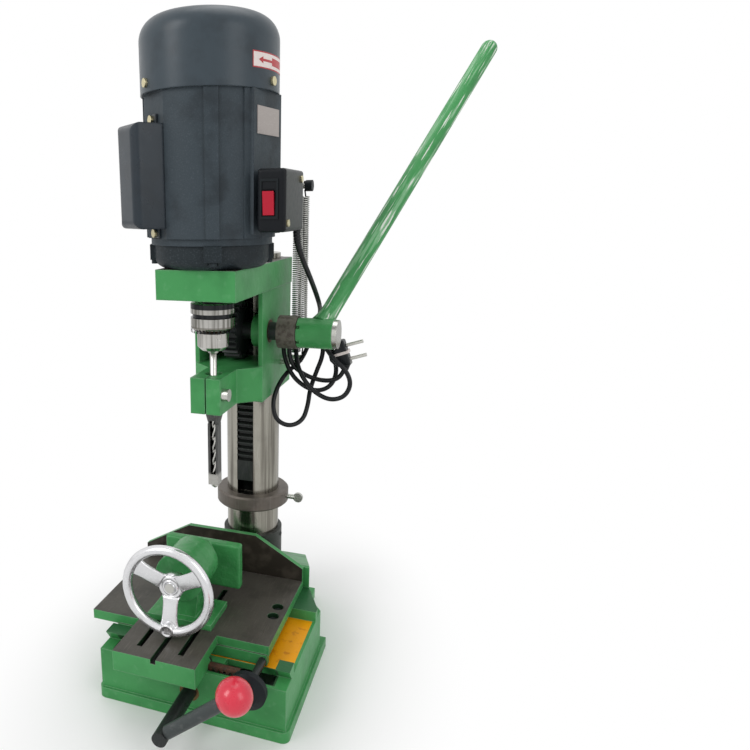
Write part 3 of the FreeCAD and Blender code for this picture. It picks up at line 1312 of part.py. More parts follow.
def end_ring_shape(name):
    """The space of the ring on the hub's outer end."""
    start = hub_start() + s.hub_length
    return rod(name, "X", s.end_ring_diameter, feed_line(), (start, start + s.end_ring_length))


def hub_end_ring():
    """Bright cap on the outer end of the feed shaft."""
    return end_ring_shape("hub_end_ring")


def feed_lever():
    shaft = lever_shape("feed_lever_rod", s.lever_start, s.lever_end, s.lever_diameter)
    tip = doc.addObject("Part::Sphere", "feed_lever_tip")
    bind(tip, "Radius", s.lever_diameter / 2)
    along = lever_direction()
    place(tip, s.lever_root + s.lever_end * along.x, s.lever_end * along.y - s.feed_reach,
          s.feed_height + s.lever_end * along.z)
    ring = end_ring_shape("feed_lever_ring_room")
    return cut("feed_lever", fuse("feed_lever_solid", shaft, tip), ring)


# ---------------------------------------------------------------- cross table
def table_casting():
    """Table with a tongue, tee slots, a keyway and the dovetail underneath."""
    part = Casting("table_casting")
    left = s.table_x - s.table_width / 2
    right = s.table_x + s.table_width / 2
    underside = s.table_top - s.table_thick
    part.pad("XY", (underside, s.table_top), oblong((left, right), (-s.table_front, -s.table_back)))
    tongue = (s.table_x - s.tongue_width / 2, s.table_x + s.tongue_width / 2)
    part.pad("XY", (s.tongue_bottom, s.table_top), oblong(tongue, (-s.tongue_front, -s.table_front)))
    rib_front = s.way_back - s.slide_gap
    part.pad("XY", (s.rib_bottom, underside + 1),
             oblong((s.table_x - s.rib_left, s.table_x + s.rib_right),
                    (-rib_front, -rib_front + s.rib_depth)))
    drop = s.tongue_bottom - 1
    part.pocket("YZ", (tongue[0] - 1, tongue[1] + 1), [
        (flank(drop) - flank_room(), drop), (flank(underside) - flank_room(), underside),
        (-rib_front, underside), (-rib_front, drop)])
    part.pocket("XY", (s.tongue_bottom, s.table_rack_back),
                oblong((table_rack_start(), tongue[1]),
                       (-s.table_rack_front, -s.table_rack_front + s.table_rack_width)))
    for side in (-1, 1):
        middle = s.table_x + side * s.slot_spread / 2
        length = (-s.slot_front, -s.slot_back)
        half = s.table_slot / 2
        tee = s.tee_width / 2
        tee_top = s.table_top - s.slot_lip
        part.pocket("XY", (tee_top, s.table_top), oblong((middle - half, middle + half), length))
        part.pocket("XY", (tee_top - s.tee_height, tee_top), oblong((middle - tee, middle + tee), length))
    key = s.keyway / 2
    part.pocket("XY", (s.table_top - s.keyway_depth, s.table_top),
                oblong((s.table_x - key, s.table_x + key), (-s.tongue_front, -s.keyway_back)))
    for y in (s.table_screw_near, s.table_screw_far):
        spot = (s.table_x + s.table_screw_x, -y)
        part.drill("XY", (s.table_top - s.table_screw_depth - 3, s.table_top), spot, s.table_screw_sink)
        part.drill("XY", (underside, s.table_top), spot, s.table_screw_shank)
    part.drill("XZ", (-rib_front, -rib_front + s.rib_depth),
               (s.table_x + s.lock_x, s.lock_height), s.lock_stud)
    sink = s.fence_screw_length - s.fence_thick
    for side in (-1, 0, 1):
        part.drill("XZ", (-s.table_back - sink, -s.table_back),
                   (s.table_x + side * s.fence_screw_spread, s.table_top - s.table_thick / 2), s.fence_screw)
    return part.body


def flank(height):
    """The Y coordinate of the base way's leaning front flank at one height."""
    lean = (s.way_crest - s.way_neck) / (s.way_height - s.ledge_height)
    return -s.way_neck - (height - s.ledge_height) * lean


def flank_room():
    """Level gap between the two flanks: the gib with its clearance on each side."""
    return s.gib_thick + 2 * s.slide_gap


def table_gib():
    """Strip between the base's flank and the table's flank."""
    part = Casting("table_gib")
    low = s.rib_bottom
    high = s.way_height - s.slide_gap
    inner = s.slide_gap
    outer = s.slide_gap + s.gib_thick
    half = s.tongue_width / 2 - 1
    part.pad("YZ", (s.table_x - half, s.table_x + half), [
        (flank(low) - outer, low), (flank(high) - outer, high),
        (flank(high) - inner, high), (flank(low) - inner, low)])
    return part.body


def table_rack_start():
    """The X coordinate of the table rack's left end."""
    return -(s.table_rack_left + 1 / 2) * math.pi * s.table_module


def table_rack():
    """Rack under the tongue's front lip, driven by the traverse pinion."""
    pitch = math.pi * s.table_module
    line = s.traverse_height + s.table_module * s.traverse_teeth / 2
    start = -s.table_rack_left * pitch
    bar = rack_bar("table_rack", s.table_module, s.table_rack_gaps, pitch / 2,
                   (s.table_rack_gaps - 1 / 2) * pitch, s.table_rack_width, s.table_rack_back - line)
    # own X stays, own Y (teeth) goes down, own Z (width) to the front
    turn = Rotation(Vector(1, 0, 0), Vector(0, 0, -1), Vector(0, 1, 0), "XYZ")
    return place(bar, start, -s.table_rack_front, line, turn=turn)


def wing_screws():
    """Two socket screws sunk in the right wing."""
    screws = []
    underside = s.table_top - s.table_thick
    seat = s.table_top - s.table_screw_depth
    for index, y in enumerate((s.table_screw_near, s.table_screw_far)):
        spot = (s.table_x + s.table_screw_x, -y)
        shank = rod(f"table_screw_shank{index}", "Z", s.table_screw_shank, spot, (underside, seat))
        head = rod(f"table_screw_head{index}", "Z", s.table_screw_head, spot, (seat - 3, seat))
        screws.append(fuse(f"table_screw{index}", shank, head))
    return screws


def table_screws():
    """The wing's screws and those that hold the fence."""
    return group("table_screws", [*wing_screws(), *fence_screws()])


def lock_stud():
    """Threaded stud of the table lock, screwed through the table's rib."""
    back = s.way_back - s.slide_gap - s.rib_depth
    return rod("lock_stud", "Y", s.lock_stud, (s.table_x + s.lock_x, s.lock_height),
               (-s.lock_knob_back - 2, -back + 2))


def lock_knob():
    """Domed knob that turns on the lock stud."""
    part = Casting("lock_knob")
    rim = s.lock_knob / 2
    bore = s.lock_stud / 2 + s.running_fit
    front = s.lock_knob_front
    back = s.lock_knob_back
    part.turn([(0, -front), (rim - 8, -front), (rim, -front + 5), (rim, -back - 3), (rim - 3, -back),
               (s.lock_neck / 2, -back), (s.lock_neck / 2, -s.lock_neck_back), (bore, -s.lock_neck_back),
               (bore, -back - 3), (0, -back - 3)])
    return place(part.body, s.table_x + s.lock_x, 0, s.lock_height, turn=TURN["Y"])


def fence():
    """Upright plate behind the table, its upper corners cut off."""
    part = Casting("fence")
    half = s.table_width / 2
    crest = s.fence_crest / 2
    bottom = s.table_top - s.table_thick
    x = s.table_x
    front = -s.table_back
    part.pad("XZ", (front, front + s.fence_thick), [
        (x - half, bottom), (x + half, bottom), (x + half, s.fence_shoulder),
        (x + crest, s.fence_top), (x - crest, s.fence_top), (x - half, s.fence_shoulder)])
    for side in (-1, 0, 1):
        part.drill("XZ", (front, front + s.fence_thick),
                   (x + side * s.fence_screw_spread, s.table_top - s.table_thick / 2), s.fence_screw)
    return part.body


def fence_screws():
    """Three screws from behind through the fence into the table's edge."""
    back = -s.table_back + s.fence_thick
    height = s.table_top - s.table_thick / 2
    return [
        rod(f"fence_screw{side:+d}", "Y", s.fence_screw, (s.table_x + side * s.fence_screw_spread, height),
            (back - s.fence_screw_length, back))
        for side in (-1, 0, 1)]


# ---------------------------------------------------------------- table traverse
def traverse_direction():
    """Unit vector along the traverse lever at rest."""
    angle = math.radians(number(s.traverse_angle))
    return Vector(math.cos(angle), 0, math.sin(angle))


def traverse_line(name, start, end, diameter):
    """A rod along the traverse lever, between two distances from its shaft's axis."""
    along = traverse_direction()
    item = doc.addObject("Part::Cylinder", name)
    bind(item, "Radius", diameter / 2)
    bind(item, "Height", end - start)
    return place(item, start * along.x, -s.traverse_lever_y, s.traverse_height + start * along.z,
                 turn=Rotation(Vector(0, 0, 1), along))


def traverse_shaft():
    shaft = rod("traverse_shaft_bar", "Y", s.traverse_shaft, (0, s.traverse_height),
                (-s.traverse_end, -s.traverse_back))
    return cut("traverse_shaft", shaft,
               traverse_line("traverse_tenon_hole", -s.traverse_shaft, s.traverse_shaft, s.traverse_tenon))


def traverse_pinion():
    """Pinion on the traverse shaft, one tooth up in the rack's gap."""
    item = gear("traverse_pinion", s.table_module, s.traverse_teeth, s.table_rack_width, s.traverse_shaft)
    # own Z goes along +Y and own X, with its tooth, upwards
    turn = Rotation(Vector(0, 0, 1), Vector(1, 0, 0), Vector(0, 1, 0), "XYZ")
    return place(item, 0, -s.table_rack_front, s.traverse_height, turn=turn)


def traverse_rod():
    """Lever rod with a tenon through the shaft's end."""
    tenon = traverse_line("traverse_tenon", -s.traverse_shaft / 2, s.traverse_shaft, s.traverse_tenon)
    bar = traverse_line("traverse_bar", s.traverse_shaft / 2, s.traverse_rod_end, s.traverse_rod)
    return fuse("traverse_rod", tenon, bar)


def traverse_ball():
    along = traverse_direction()
    ball = doc.addObject("Part::Sphere", "traverse_ball_solid")
    bind(ball, "Radius", s.traverse_ball / 2)
    reach = s.traverse_ball_reach
    place(ball, reach * along.x, -s.traverse_lever_y, s.traverse_height + reach * along.z)
    return cut("traverse_ball", ball,
               traverse_line("traverse_ball_socket", s.traverse_shaft / 2, s.traverse_rod_end, s.traverse_rod))


# ---------------------------------------------------------------- clamp
def clamp_bracket():
    """Foot with a key, a web and a barrel that is threaded for the clamp screw."""
    part = Casting("clamp_bracket")
    x = s.table_x
    seat = s.table_top + s.slide_gap
    half = s.clamp_width / 2
    foot_top = seat + s.clamp_foot
    part.pad("XY", (seat, foot_top), oblong((x - half, x + half), (-s.clamp_front, -s.clamp_back)))
    key = s.keyway / 2 - s.slide_gap
    part.pad("XY", (s.table_top - s.keyway_depth + s.slide_gap, foot_top),
             oblong((x - key, x + key), (-s.clamp_front, -s.key_back)))
    web = s.clamp_web / 2
    part.pad("XZ", (-s.web_front, -s.web_back), [
        (x - web + s.web_taper, seat), (x + web - s.web_taper, seat), (x + web, s.clamp_axis),
        (x - web, s.clamp_axis)])
    part.pad_round("XZ", (-s.barrel_front, -s.barrel_back), (x, s.clamp_axis), s.clamp_barrel)
    part.drill("XZ", (-s.barrel_front, -s.barrel_back), (x, s.clamp_axis),
               s.clamp_screw + 2 * s.running_fit)
    for side in (-1, 1):
        part.drill("XY", (seat, foot_top), (x + side * s.slot_spread / 2, -s.clamp_bolt_y), s.tee_bolt)
    return part.body


def clamp_bolts():
    """Two tee bolts with their nuts on the foot."""
    bolts = []
    tee_top = s.table_top - s.slot_lip
    nut_low = s.table_top + s.slide_gap + s.clamp_foot
    for side in (-1, 1):
        spot = (s.table_x + side * s.slot_spread / 2, -s.clamp_bolt_y)
        shank = rod(f"tee_bolt_shank{side:+d}", "Z", s.tee_bolt, spot,
                    (tee_top - 2, nut_low + s.tee_bolt_nut_height + 2))
        foot = rod(f"tee_bolt_foot{side:+d}", "Z", s.tee_bolt_head, spot,
                   (tee_top - s.tee_height + s.free_gap, tee_top - s.slide_gap))
        nut = rod(f"tee_bolt_nut{side:+d}", "Z", s.tee_bolt_nut, spot,
                  (nut_low, nut_low + s.tee_bolt_nut_height))
        bolts.append(fuse(f"tee_bolt{side:+d}", shank, foot, nut))
    return group("clamp_bolts", bolts)


def clamp_screw():
    """Screw from the handwheel to the jaw, with a smaller nose at each end."""
    spot = (s.table_x, s.clamp_axis)
    main = rod("clamp_screw_main", "Y", s.clamp_screw, spot, (-s.hub_back, -s.jaw_boss_back - s.free_gap))
    nose = rod("clamp_screw_nose", "Y", s.screw_nose, spot, (-s.screw_nose_end, -s.hub_back + 1))
    tip = rod("clamp_screw_tip", "Y", s.screw_tip, spot, (-s.jaw_boss_back - 1, -s.screw_end))
    return fuse("clamp_screw", main, nose, tip)


def clamp_jaw():
    """Jaw plate with a boss that takes the screw's tip."""
    part = Casting("clamp_jaw")
    x = s.table_x
    half = s.jaw_width / 2
    part.pad("XZ", (-s.jaw_back, -s.jaw_face), oblong((x - half, x + half), (s.jaw_bottom, s.jaw_top)))
    part.round_edges(3, lambda edge: edge.Length > 1)
    part.pad_round("XZ", (-s.jaw_boss_back, -s.jaw_back + 2), (x, s.clamp_axis), s.jaw_boss)
    part.drill("XZ", (-s.jaw_boss_back, -s.screw_end + s.free_gap), (x, s.clamp_axis),
               s.screw_tip + 2 * s.running_fit)
    return part.body


def clamp_handwheel():
    """Handwheel with a round rim, three flat spokes, a hub and a boss on the rim."""
    part = Casting("clamp_handwheel")
    rim = (s.wheel_diameter - s.wheel_tube) / 2
    part.turn_round((rim, -s.wheel_plane), s.wheel_tube)
    hub = s.wheel_hub / 2
    part.pad_round("XY", (-s.hub_front, -s.hub_back), (0, 0), s.wheel_hub)
    spoke = part.pad("YZ", both(s.spoke_width / 2), [
        (hub - 4, -s.hub_front), (rim, -s.wheel_plane - s.spoke_thick / 2),
        (rim, -s.wheel_plane + s.spoke_thick / 2), (hub - 4, -s.hub_front + s.spoke_thick + 3)])
    part.repeat([spoke], 3)
    part.pad_round("XY", (-s.wheel_plane - s.rim_boss_height, -s.wheel_plane), (0, rim), s.rim_boss)
    part.drill("XY", (-s.wheel_plane - 1, -s.hub_back), (0, 0), s.screw_nose)
    return place(part.body, s.table_x, 0, s.clamp_axis, turn=TURN["Y"])


# ---------------------------------------------------------------- all nodes
NODES = {
    "base_casting": base_casting, "column": column, "feed_rack": feed_rack,
    "column_sleeve": sleeve, "column_screws": column_screws, "spring_post": spring_post,
    "spring_bolts": spring_bolts, "spring_knob": spring_knob, "traverse_bushes": traverse_bushes,
    "depth_collar": depth_collar, "depth_thumb_screw": depth_thumb_screw,
    "head_casting": head_casting, "feed_bushes": feed_bushes,
    "chisel_clamp_bolt": chisel_clamp_bolt, "spring_pins": spring_pins,
    "return_springs": return_springs,
    "motor_end_bell": motor_end_bell, "motor_housing": motor_housing, "motor_bolts": motor_bolts,
    "fan_cover": fan_cover, "cover_screws": cover_screws, "motor_stator": stator,
    "motor_bearings": bearings,
    "capacitor_cover": capacitor_cover, "capacitor": capacitor, "name_plate": name_plate,
    "switch_box": switch_box, "switch_rocker": switch_rocker, "cord_gland": cord_gland,
    "power_cord": power_cord, "power_plug": power_plug,
    "rotor": rotor, "motor_fan": motor_fan, "chuck_body": chuck_body,
    "chuck_sleeve": chuck_sleeve, "chuck_jaws": chuck_jaws, "auger_bit": auger_bit,
    "mortise_chisel": chisel,
    "feed_shaft": feed_shaft, "feed_pinion": feed_pinion, "feed_collar": feed_collar,
    "feed_hub": feed_hub, "hub_end_ring": hub_end_ring, "feed_lever": feed_lever,
    "table_casting": table_casting, "table_gib": table_gib, "table_rack": table_rack,
    "table_screws": table_screws, "lock_stud": lock_stud, "lock_knob": lock_knob,
    "fence": fence,
    "traverse_shaft": traverse_shaft, "traverse_pinion": traverse_pinion,
    "traverse_rod": traverse_rod, "traverse_ball": traverse_ball,
    "clamp_bracket": clamp_bracket, "clamp_bolts": clamp_bolts, "clamp_screw": clamp_screw,
    "clamp_jaw": clamp_jaw, "clamp_handwheel": clamp_handwheel,
}


def check(name, item):
    """Stop if an object failed or its shape is not sound."""
    if any(word in item.State for word in ("Invalid", "Error")):
        raise ValueError(f"{item.Name} failed: {item.State}")
    if name and (item.Shape.isNull() or not item.Shape.isValid() or not item.Shape.Solids):
        raise ValueError(f"{name} has no sound shape")


def build():
    """Make every node, check it and write its STEP file."""
    nodes = {}
    for name, make in NODES.items():
        item = make()
        item.Label = name
        nodes[name] = item
        doc.recompute()
        print(f"{name}: made")
    for item in doc.Objects:
        check(None, item)
    os.makedirs("parts", exist_ok=True)
    for name, item in nodes.items():
        check(name, item)
        item.Shape.exportStep(f"parts/{name}.step")
        print(f"{name}: {len(item.Shape.Solids)} solid(s), {item.Shape.Volume / 1000:.1f} cm3")


build()
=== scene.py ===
import math

import bmesh
import bpy
from mathutils import Matrix, Vector


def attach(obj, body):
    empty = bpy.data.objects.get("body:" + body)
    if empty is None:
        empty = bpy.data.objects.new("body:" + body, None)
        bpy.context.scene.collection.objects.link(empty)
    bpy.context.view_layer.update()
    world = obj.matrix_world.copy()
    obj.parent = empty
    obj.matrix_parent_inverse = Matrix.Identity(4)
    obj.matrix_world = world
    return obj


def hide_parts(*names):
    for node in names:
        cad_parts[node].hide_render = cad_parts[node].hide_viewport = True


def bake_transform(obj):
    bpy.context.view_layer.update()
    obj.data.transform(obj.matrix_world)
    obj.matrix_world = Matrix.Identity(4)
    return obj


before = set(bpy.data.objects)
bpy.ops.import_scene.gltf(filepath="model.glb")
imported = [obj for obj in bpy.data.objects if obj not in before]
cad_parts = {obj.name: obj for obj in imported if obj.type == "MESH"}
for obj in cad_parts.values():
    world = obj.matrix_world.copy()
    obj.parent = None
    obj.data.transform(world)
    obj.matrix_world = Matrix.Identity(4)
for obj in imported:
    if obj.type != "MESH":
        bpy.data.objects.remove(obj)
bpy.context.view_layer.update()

MM = 0.001
TURN = 2 * math.pi
SPINDLE_Y = -133.5


# ---------------------------------------------------------------- camera
def add_camera():
    """The photograph's viewpoint."""
    azimuth = math.radians(20.92)
    pitch = math.radians(14.25)
    roll = math.radians(-0.64)
    forward = Vector((-math.sin(azimuth) * math.cos(pitch), math.cos(azimuth) * math.cos(pitch),
                      -math.sin(pitch)))
    level = Vector((math.cos(azimuth), math.sin(azimuth), 0))
    above = level.cross(forward)
    right = level * math.cos(roll) + above * math.sin(roll)
    up = above * math.cos(roll) - level * math.sin(roll)
    data = bpy.data.cameras.new("photo_camera")
    data.sensor_width = 36
    data.lens = 33.473
    data.shift_x = 0.2076
    data.shift_y = 0.0132
    camera = bpy.data.objects.new("photo_camera", data)
    turn = Matrix((right, up, -forward)).transposed().to_4x4()
    place = (0.25981, -0.797, 0.52755)
    camera.matrix_world = Matrix.Translation(place) @ turn
    bpy.context.collection.objects.link(camera)
    bpy.context.scene.camera = camera


add_camera()


# ---------------------------------------------------------------- materials
def colour(red, green, blue):
    """The scene colour of an 8-bit one."""
    def channel(value):
        value /= 255
        return value / 12.92 if value <= 0.04045 else ((value + 0.055) / 1.055) ** 2.4
    return (channel(red), channel(green), channel(blue), 1)


# How much of a place's distance along a grain is taken away, which draws noise out along it.
GRAIN_SHARE = 0.94
# The numbers of a mix node's sockets for colours.
MIX_FIRST, MIX_SECOND, MIX_RESULT = 6, 7, 2


class Finish:
    """A material whose colour, roughness and bump are built up from noise."""

    def __init__(self, name, base, roughness, metallic=0.0, **sockets):
        self.material = bpy.data.materials.new(name)
        self.material.use_nodes = True
        self.nodes = self.material.node_tree.nodes
        self.links = self.material.node_tree.links
        self.shader = self.nodes["Principled BSDF"]
        self.shader.inputs["Base Color"].default_value = base
        self.shader.inputs["Roughness"].default_value = roughness
        self.shader.inputs["Metallic"].default_value = metallic
        for socket, value in sockets.items():
            self.shader.inputs[socket.replace("_", " ")].default_value = value
        self.paint = base
        self.height = None
        self.place = self.nodes.new("ShaderNodeTexCoord").outputs["Object"]

    def node(self, kind, **values):
        """A new node with these properties."""
        node = self.nodes.new(kind)
        for name, value in values.items():
            setattr(node, name, value)
        return node

    def feed(self, socket, value):
        """Link a socket to another one, or set its value."""
        if isinstance(value, bpy.types.NodeSocket):
            self.links.new(value, socket)
        else:
            socket.default_value = value

    def math(self, operation, first, second):
        """The outcome of a sum, difference or product of two values."""
        node = self.node("ShaderNodeMath", operation=operation)
        self.feed(node.inputs[0], first)
        self.feed(node.inputs[1], second)
        return node.outputs[0]

    def noise(self, size, detail=3, stretch=(1, 1, 1), grain=None):
        """Noise whose blobs are about that many millimetres wide, drawn out along a grain if given."""
        place = self.place
        if grain:
            along = self.node("ShaderNodeVectorMath", operation="PROJECT")
            self.links.new(place, along.inputs[0])
            along.inputs[1].default_value = grain
            shorter = self.node("ShaderNodeVectorMath", operation="MULTIPLY_ADD")
            self.links.new(along.outputs["Vector"], shorter.inputs[0])
            shorter.inputs[1].default_value = (-GRAIN_SHARE, -GRAIN_SHARE, -GRAIN_SHARE)
            self.links.new(place, shorter.inputs[2])
            place = shorter.outputs["Vector"]
        mapping = self.node("ShaderNodeMapping")
        mapping.inputs["Scale"].default_value = stretch
        self.links.new(place, mapping.inputs["Vector"])
        noise = self.node("ShaderNodeTexNoise")
        noise.inputs["Scale"].default_value = 1 / (size * MM)
        noise.inputs["Detail"].default_value = detail
        self.links.new(mapping.outputs[0], noise.inputs["Vector"])
        return noise.outputs["Fac"]

    def ramp(self, value, low, high):
        """From 0 at low to 1 at high."""
        node = self.node("ShaderNodeMapRange", interpolation_type="SMOOTHSTEP")
        self.feed(node.inputs["Value"], value)
        node.inputs["From Min"].default_value = low
        node.inputs["From Max"].default_value = high
        return node.outputs["Result"]

    def box(self, soft=0.2, **spans):
        """Where the place is inside (low, high) spans, in millimetres, along the machine's axes."""
        split = self.node("ShaderNodeSeparateXYZ")
        self.links.new(self.place, split.inputs[0])
        mask = 1.0
        for letter, (low, high) in spans.items():
            for inner, outer in ((low, low - soft), (high, high + soft)):
                side = self.ramp(split.outputs[letter], outer * MM, inner * MM)
                mask = self.math("MULTIPLY", mask, side)
        return mask

    def facing(self, letter, low=0.85, high=0.95):
        """Where the surface faces along one axis; low above high turns it round."""
        split = self.node("ShaderNodeSeparateXYZ")
        self.links.new(self.node("ShaderNodeNewGeometry").outputs["Normal"], split.inputs[0])
        return self.ramp(split.outputs[letter], low, high)

    def reach(self, low, high, x=0, y=-SPINDLE_Y):
        """From 0 to 1 between two distances from the upright axes at plus and minus x and y."""
        whole = self.node("ShaderNodeVectorMath", operation="ABSOLUTE")
        self.links.new(self.place, whole.inputs[0])
        flat = self.node("ShaderNodeVectorMath", operation="MULTIPLY_ADD")
        self.links.new(whole.outputs["Vector"], flat.inputs[0])
        flat.inputs[1].default_value = (1, 1, 0)
        flat.inputs[2].default_value = (-x * MM, -y * MM, 0)
        length = self.node("ShaderNodeVectorMath", operation="LENGTH")
        self.links.new(flat.outputs["Vector"], length.inputs[0])
        return self.ramp(length.outputs["Value"], low * MM, high * MM)

    def edges(self, radius):
        """Where the surface is next to a sharp edge."""
        bevel = self.node("ShaderNodeBevel", samples=4)
        bevel.inputs["Radius"].default_value = radius * MM
        dot = self.node("ShaderNodeVectorMath", operation="DOT_PRODUCT")
        self.links.new(bevel.outputs[0], dot.inputs[0])
        self.links.new(self.node("ShaderNodeNewGeometry").outputs["Normal"], dot.inputs[1])
        return self.ramp(self.math("SUBTRACT", 1.0, dot.outputs["Value"]), 0.02, 0.12)

    def streaks(self, size):
        """Upright streaks, as turned steel reflects a room."""
        return self.ramp(self.noise(size, 3, (1, 1, 0.03)), 0.45, 0.62)

    def tint(self, mask, other, strength=1.0):
        """Paint another colour where the mask says."""
        mix = self.node("ShaderNodeMix", data_type="RGBA")
        self.feed(mix.inputs["Factor"], self.math("MULTIPLY", mask, strength))
        self.feed(mix.inputs[MIX_FIRST], self.paint)
        mix.inputs[MIX_SECOND].default_value = other
        self.paint = mix.outputs[MIX_RESULT]
        self.links.new(self.paint, self.shader.inputs["Base Color"])

    def vary(self, socket, mask, low, high):
        """Let one socket go from low to high with the mask."""
        node = self.node("ShaderNodeMapRange")
        self.feed(node.inputs["Value"], mask)
        node.inputs["To Min"].default_value = low
        node.inputs["To Max"].default_value = high
        self.links.new(node.outputs["Result"], self.shader.inputs[socket])

    def bump(self, height, depth, rounding=0.0):
        """Raise the surface by a height of that many millimetres, with soft edges if wanted."""
        node = self.node("ShaderNodeBump")
        node.inputs["Distance"].default_value = depth * MM
        self.feed(node.inputs["Height"], height)
        if self.height is not None:
            self.links.new(self.height, node.inputs["Normal"])
        elif rounding:
            bevel = self.node("ShaderNodeBevel", samples=4)
            bevel.inputs["Radius"].default_value = rounding * MM
            self.links.new(bevel.outputs[0], node.inputs["Normal"])
        self.height = node.outputs[0]
        self.links.new(self.height, self.shader.inputs["Normal"])


GREEN = colour(68, 146, 84)
GREEN_DARK = colour(44, 112, 60)
# Lighter green for random wear patches and for the painted highlight along edges.
GREEN_WEAR_AND_HIGHLIGHT = colour(124, 178, 134)
MACHINED = colour(76, 73, 67)
SHADE = colour(30, 30, 28)
BLACK = colour(16, 18, 18)
# The way the feed lever points, from its hub outwards.
LEVER_ALONG = (0.350, 0.566, 0.746)
# Rooms and faces that have a colour of their own or carry painted shade, as spans in millimetres.
WAY_TOP_SHADE = {"Z": (71.6, 73.4)}
FRONT_WELL_SHADE = {"X": (-92, 92), "Y": (-212.5, -196), "Z": (0, 71.2)}
RECESS_FLOOR = {"X": (-101.5, 101.5), "Y": (-186.2, -88.5), "Z": (59, 60)}
TABLE_SLOT_SHADE = {"X": (-60, 12), "Y": (-244.5, -60), "Z": (50, 83.2)}
TABLE_POCKET_SHADE = {"X": (55, 76), "Y": (-140, -98), "Z": (50, 83.2)}
COLUMN_SLOT_SHADE = {"X": (-10.1, 10.1), "Y": (-40, -3), "Z": (182.2, 480)}
CHUCK_BANDS = ({"Z": (428.6, 433.6)}, {"Z": (419.2, 423.6)})
CHUCK_GROOVE_SHADE = {"Z": (406.8, 410.6)}
CHUCK_TOOTH_GAP_SHADE = {"Z": (403.2, 406.8)}
CHISEL_TIP = {"Z": (225, 246)}
CHISEL_WINDOW_SHADE = {"Z": (248, 309)}


def green_paint(name, rough_cast=0.25, rounding=1.4):
    """Brushed-on green enamel over a sand casting, with lighter wear patches and its edges painted lighter as
    a painted highlight.
    """
    finish = Finish(name, GREEN, 0.38, Specular_IOR_Level=0.24)
    finish.tint(finish.ramp(finish.noise(45), 0.42, 0.68), GREEN_DARK, 0.45)
    finish.tint(finish.ramp(finish.noise(9, 5), 0.56, 0.75), GREEN_WEAR_AND_HIGHLIGHT, 0.18)
    # Every edge painted lighter green: a painted highlight where rounded edges catch the light.
    finish.tint(finish.edges(1.6), GREEN_WEAR_AND_HIGHLIGHT, 0.75)
    finish.vary("Roughness", finish.noise(14), 0.28, 0.46)
    finish.bump(finish.noise(6, 2), rough_cast, rounding=rounding)
    finish.bump(finish.noise(1.6, 3), rough_cast * 0.3)
    return finish


def machined_top(finish, low, high):
    """Bare scraped metal on the faces that look up, between two heights."""
    face = finish.math("MULTIPLY", finish.facing("Z"), finish.box(Z=(low, high)))
    finish.tint(face, MACHINED)
    stains = finish.math("MULTIPLY", face, finish.ramp(finish.noise(38, 5), 0.45, 0.7))
    finish.tint(stains, colour(58, 56, 51), 0.8)
    scratches = finish.noise(0.7, 4, (1, 0.04, 1))
    scratched = finish.math("MULTIPLY", face, finish.ramp(scratches, 0.55, 0.75))
    finish.tint(scratched, colour(112, 107, 98), 0.5)
    return finish


def crinkle_paint(name, base, grain):
    """Black wrinkle enamel."""
    finish = Finish(name, base, 0.5, Specular_IOR_Level=0.2)
    finish.tint(finish.ramp(finish.noise(grain, 4), 0.5, 0.75), colour(78, 86, 93), 0.4)
    finish.tint(finish.ramp(finish.noise(30), 0.45, 0.7), colour(28, 32, 36), 0.5)
    finish.vary("Roughness", finish.noise(grain * 3), 0.42, 0.6)
    finish.bump(finish.noise(grain * 1.3, 3), 0.2, rounding=1.2)
    return finish


def satin_black(name, base, roughness=0.32, rounding=1.5):
    """Smooth satin enamel or moulded plastic."""
    finish = Finish(name, base, roughness, Specular_IOR_Level=0.26)
    finish.tint(finish.ramp(finish.noise(25, 4), 0.45, 0.7), colour(34, 38, 42), 0.35)
    finish.vary("Roughness", finish.noise(12, 5), roughness - 0.05, roughness + 0.1)
    finish.bump(finish.noise(1.2, 2), 0.03, rounding=rounding)
    return finish


def clamp_paint():
    """Thick glossy enamel over a rough casting."""
    finish = green_paint("clamp_green", 0.5, 2.0)
    finish.vary("Roughness", finish.noise(10), 0.14, 0.34)
    finish.bump(finish.noise(11, 4), 1.4)
    return finish


def lever_paint():
    """Enamel on a rod, scuffed to the bare metal along its length; the light streaks are also a painted
    highlight along the rod.
    """
    finish = green_paint("lever_green", 0.1)
    scuffs_and_highlight = finish.ramp(finish.noise(4.5, 4, grain=LEVER_ALONG), 0.5, 0.6)
    finish.tint(scuffs_and_highlight, colour(150, 196, 156), 0.55)
    # Near-white streaks along the rod: bare metal and a painted highlight.
    bare = finish.ramp(finish.noise(3.2, 5, grain=LEVER_ALONG), 0.57, 0.64)
    finish.tint(bare, colour(222, 228, 218), 0.9)
    return finish


def metal(name, base, roughness, metallic=1.0, brushed=(1, 1, 0.03), dirt=0.35, grain=0.5,
          shine=0.25):
    """Turned, ground or drawn metal with brush marks painted lighter as a painted sheen, and some dirt."""
    finish = Finish(name, base, roughness, metallic)
    marks = finish.noise(grain, 4, brushed)
    finish.tint(finish.ramp(finish.noise(22, 5), 0.48, 0.72), SHADE, dirt)
    # Brush marks painted near white, as much as shine says: a painted sheen.
    finish.tint(finish.ramp(marks, 0.5, 0.8), colour(225, 224, 220), shine)
    finish.vary("Roughness", marks, roughness * 0.7, roughness * 1.4)
    finish.bump(marks, 0.03, rounding=0.4)
    return finish


def rusty(name, base, depth=0.5):
    """Rough black-brown steel."""
    finish = Finish(name, base, 0.6, 0.55)
    finish.tint(finish.ramp(finish.noise(5, 5), 0.45, 0.65), colour(66, 58, 52), 0.8)
    finish.tint(finish.ramp(finish.noise(2.5, 4), 0.58, 0.72), colour(128, 118, 106), 0.6)
    finish.vary("Roughness", finish.noise(3, 4), 0.45, 0.75)
    finish.bump(finish.noise(3, 5), depth, rounding=0.8)
    return finish


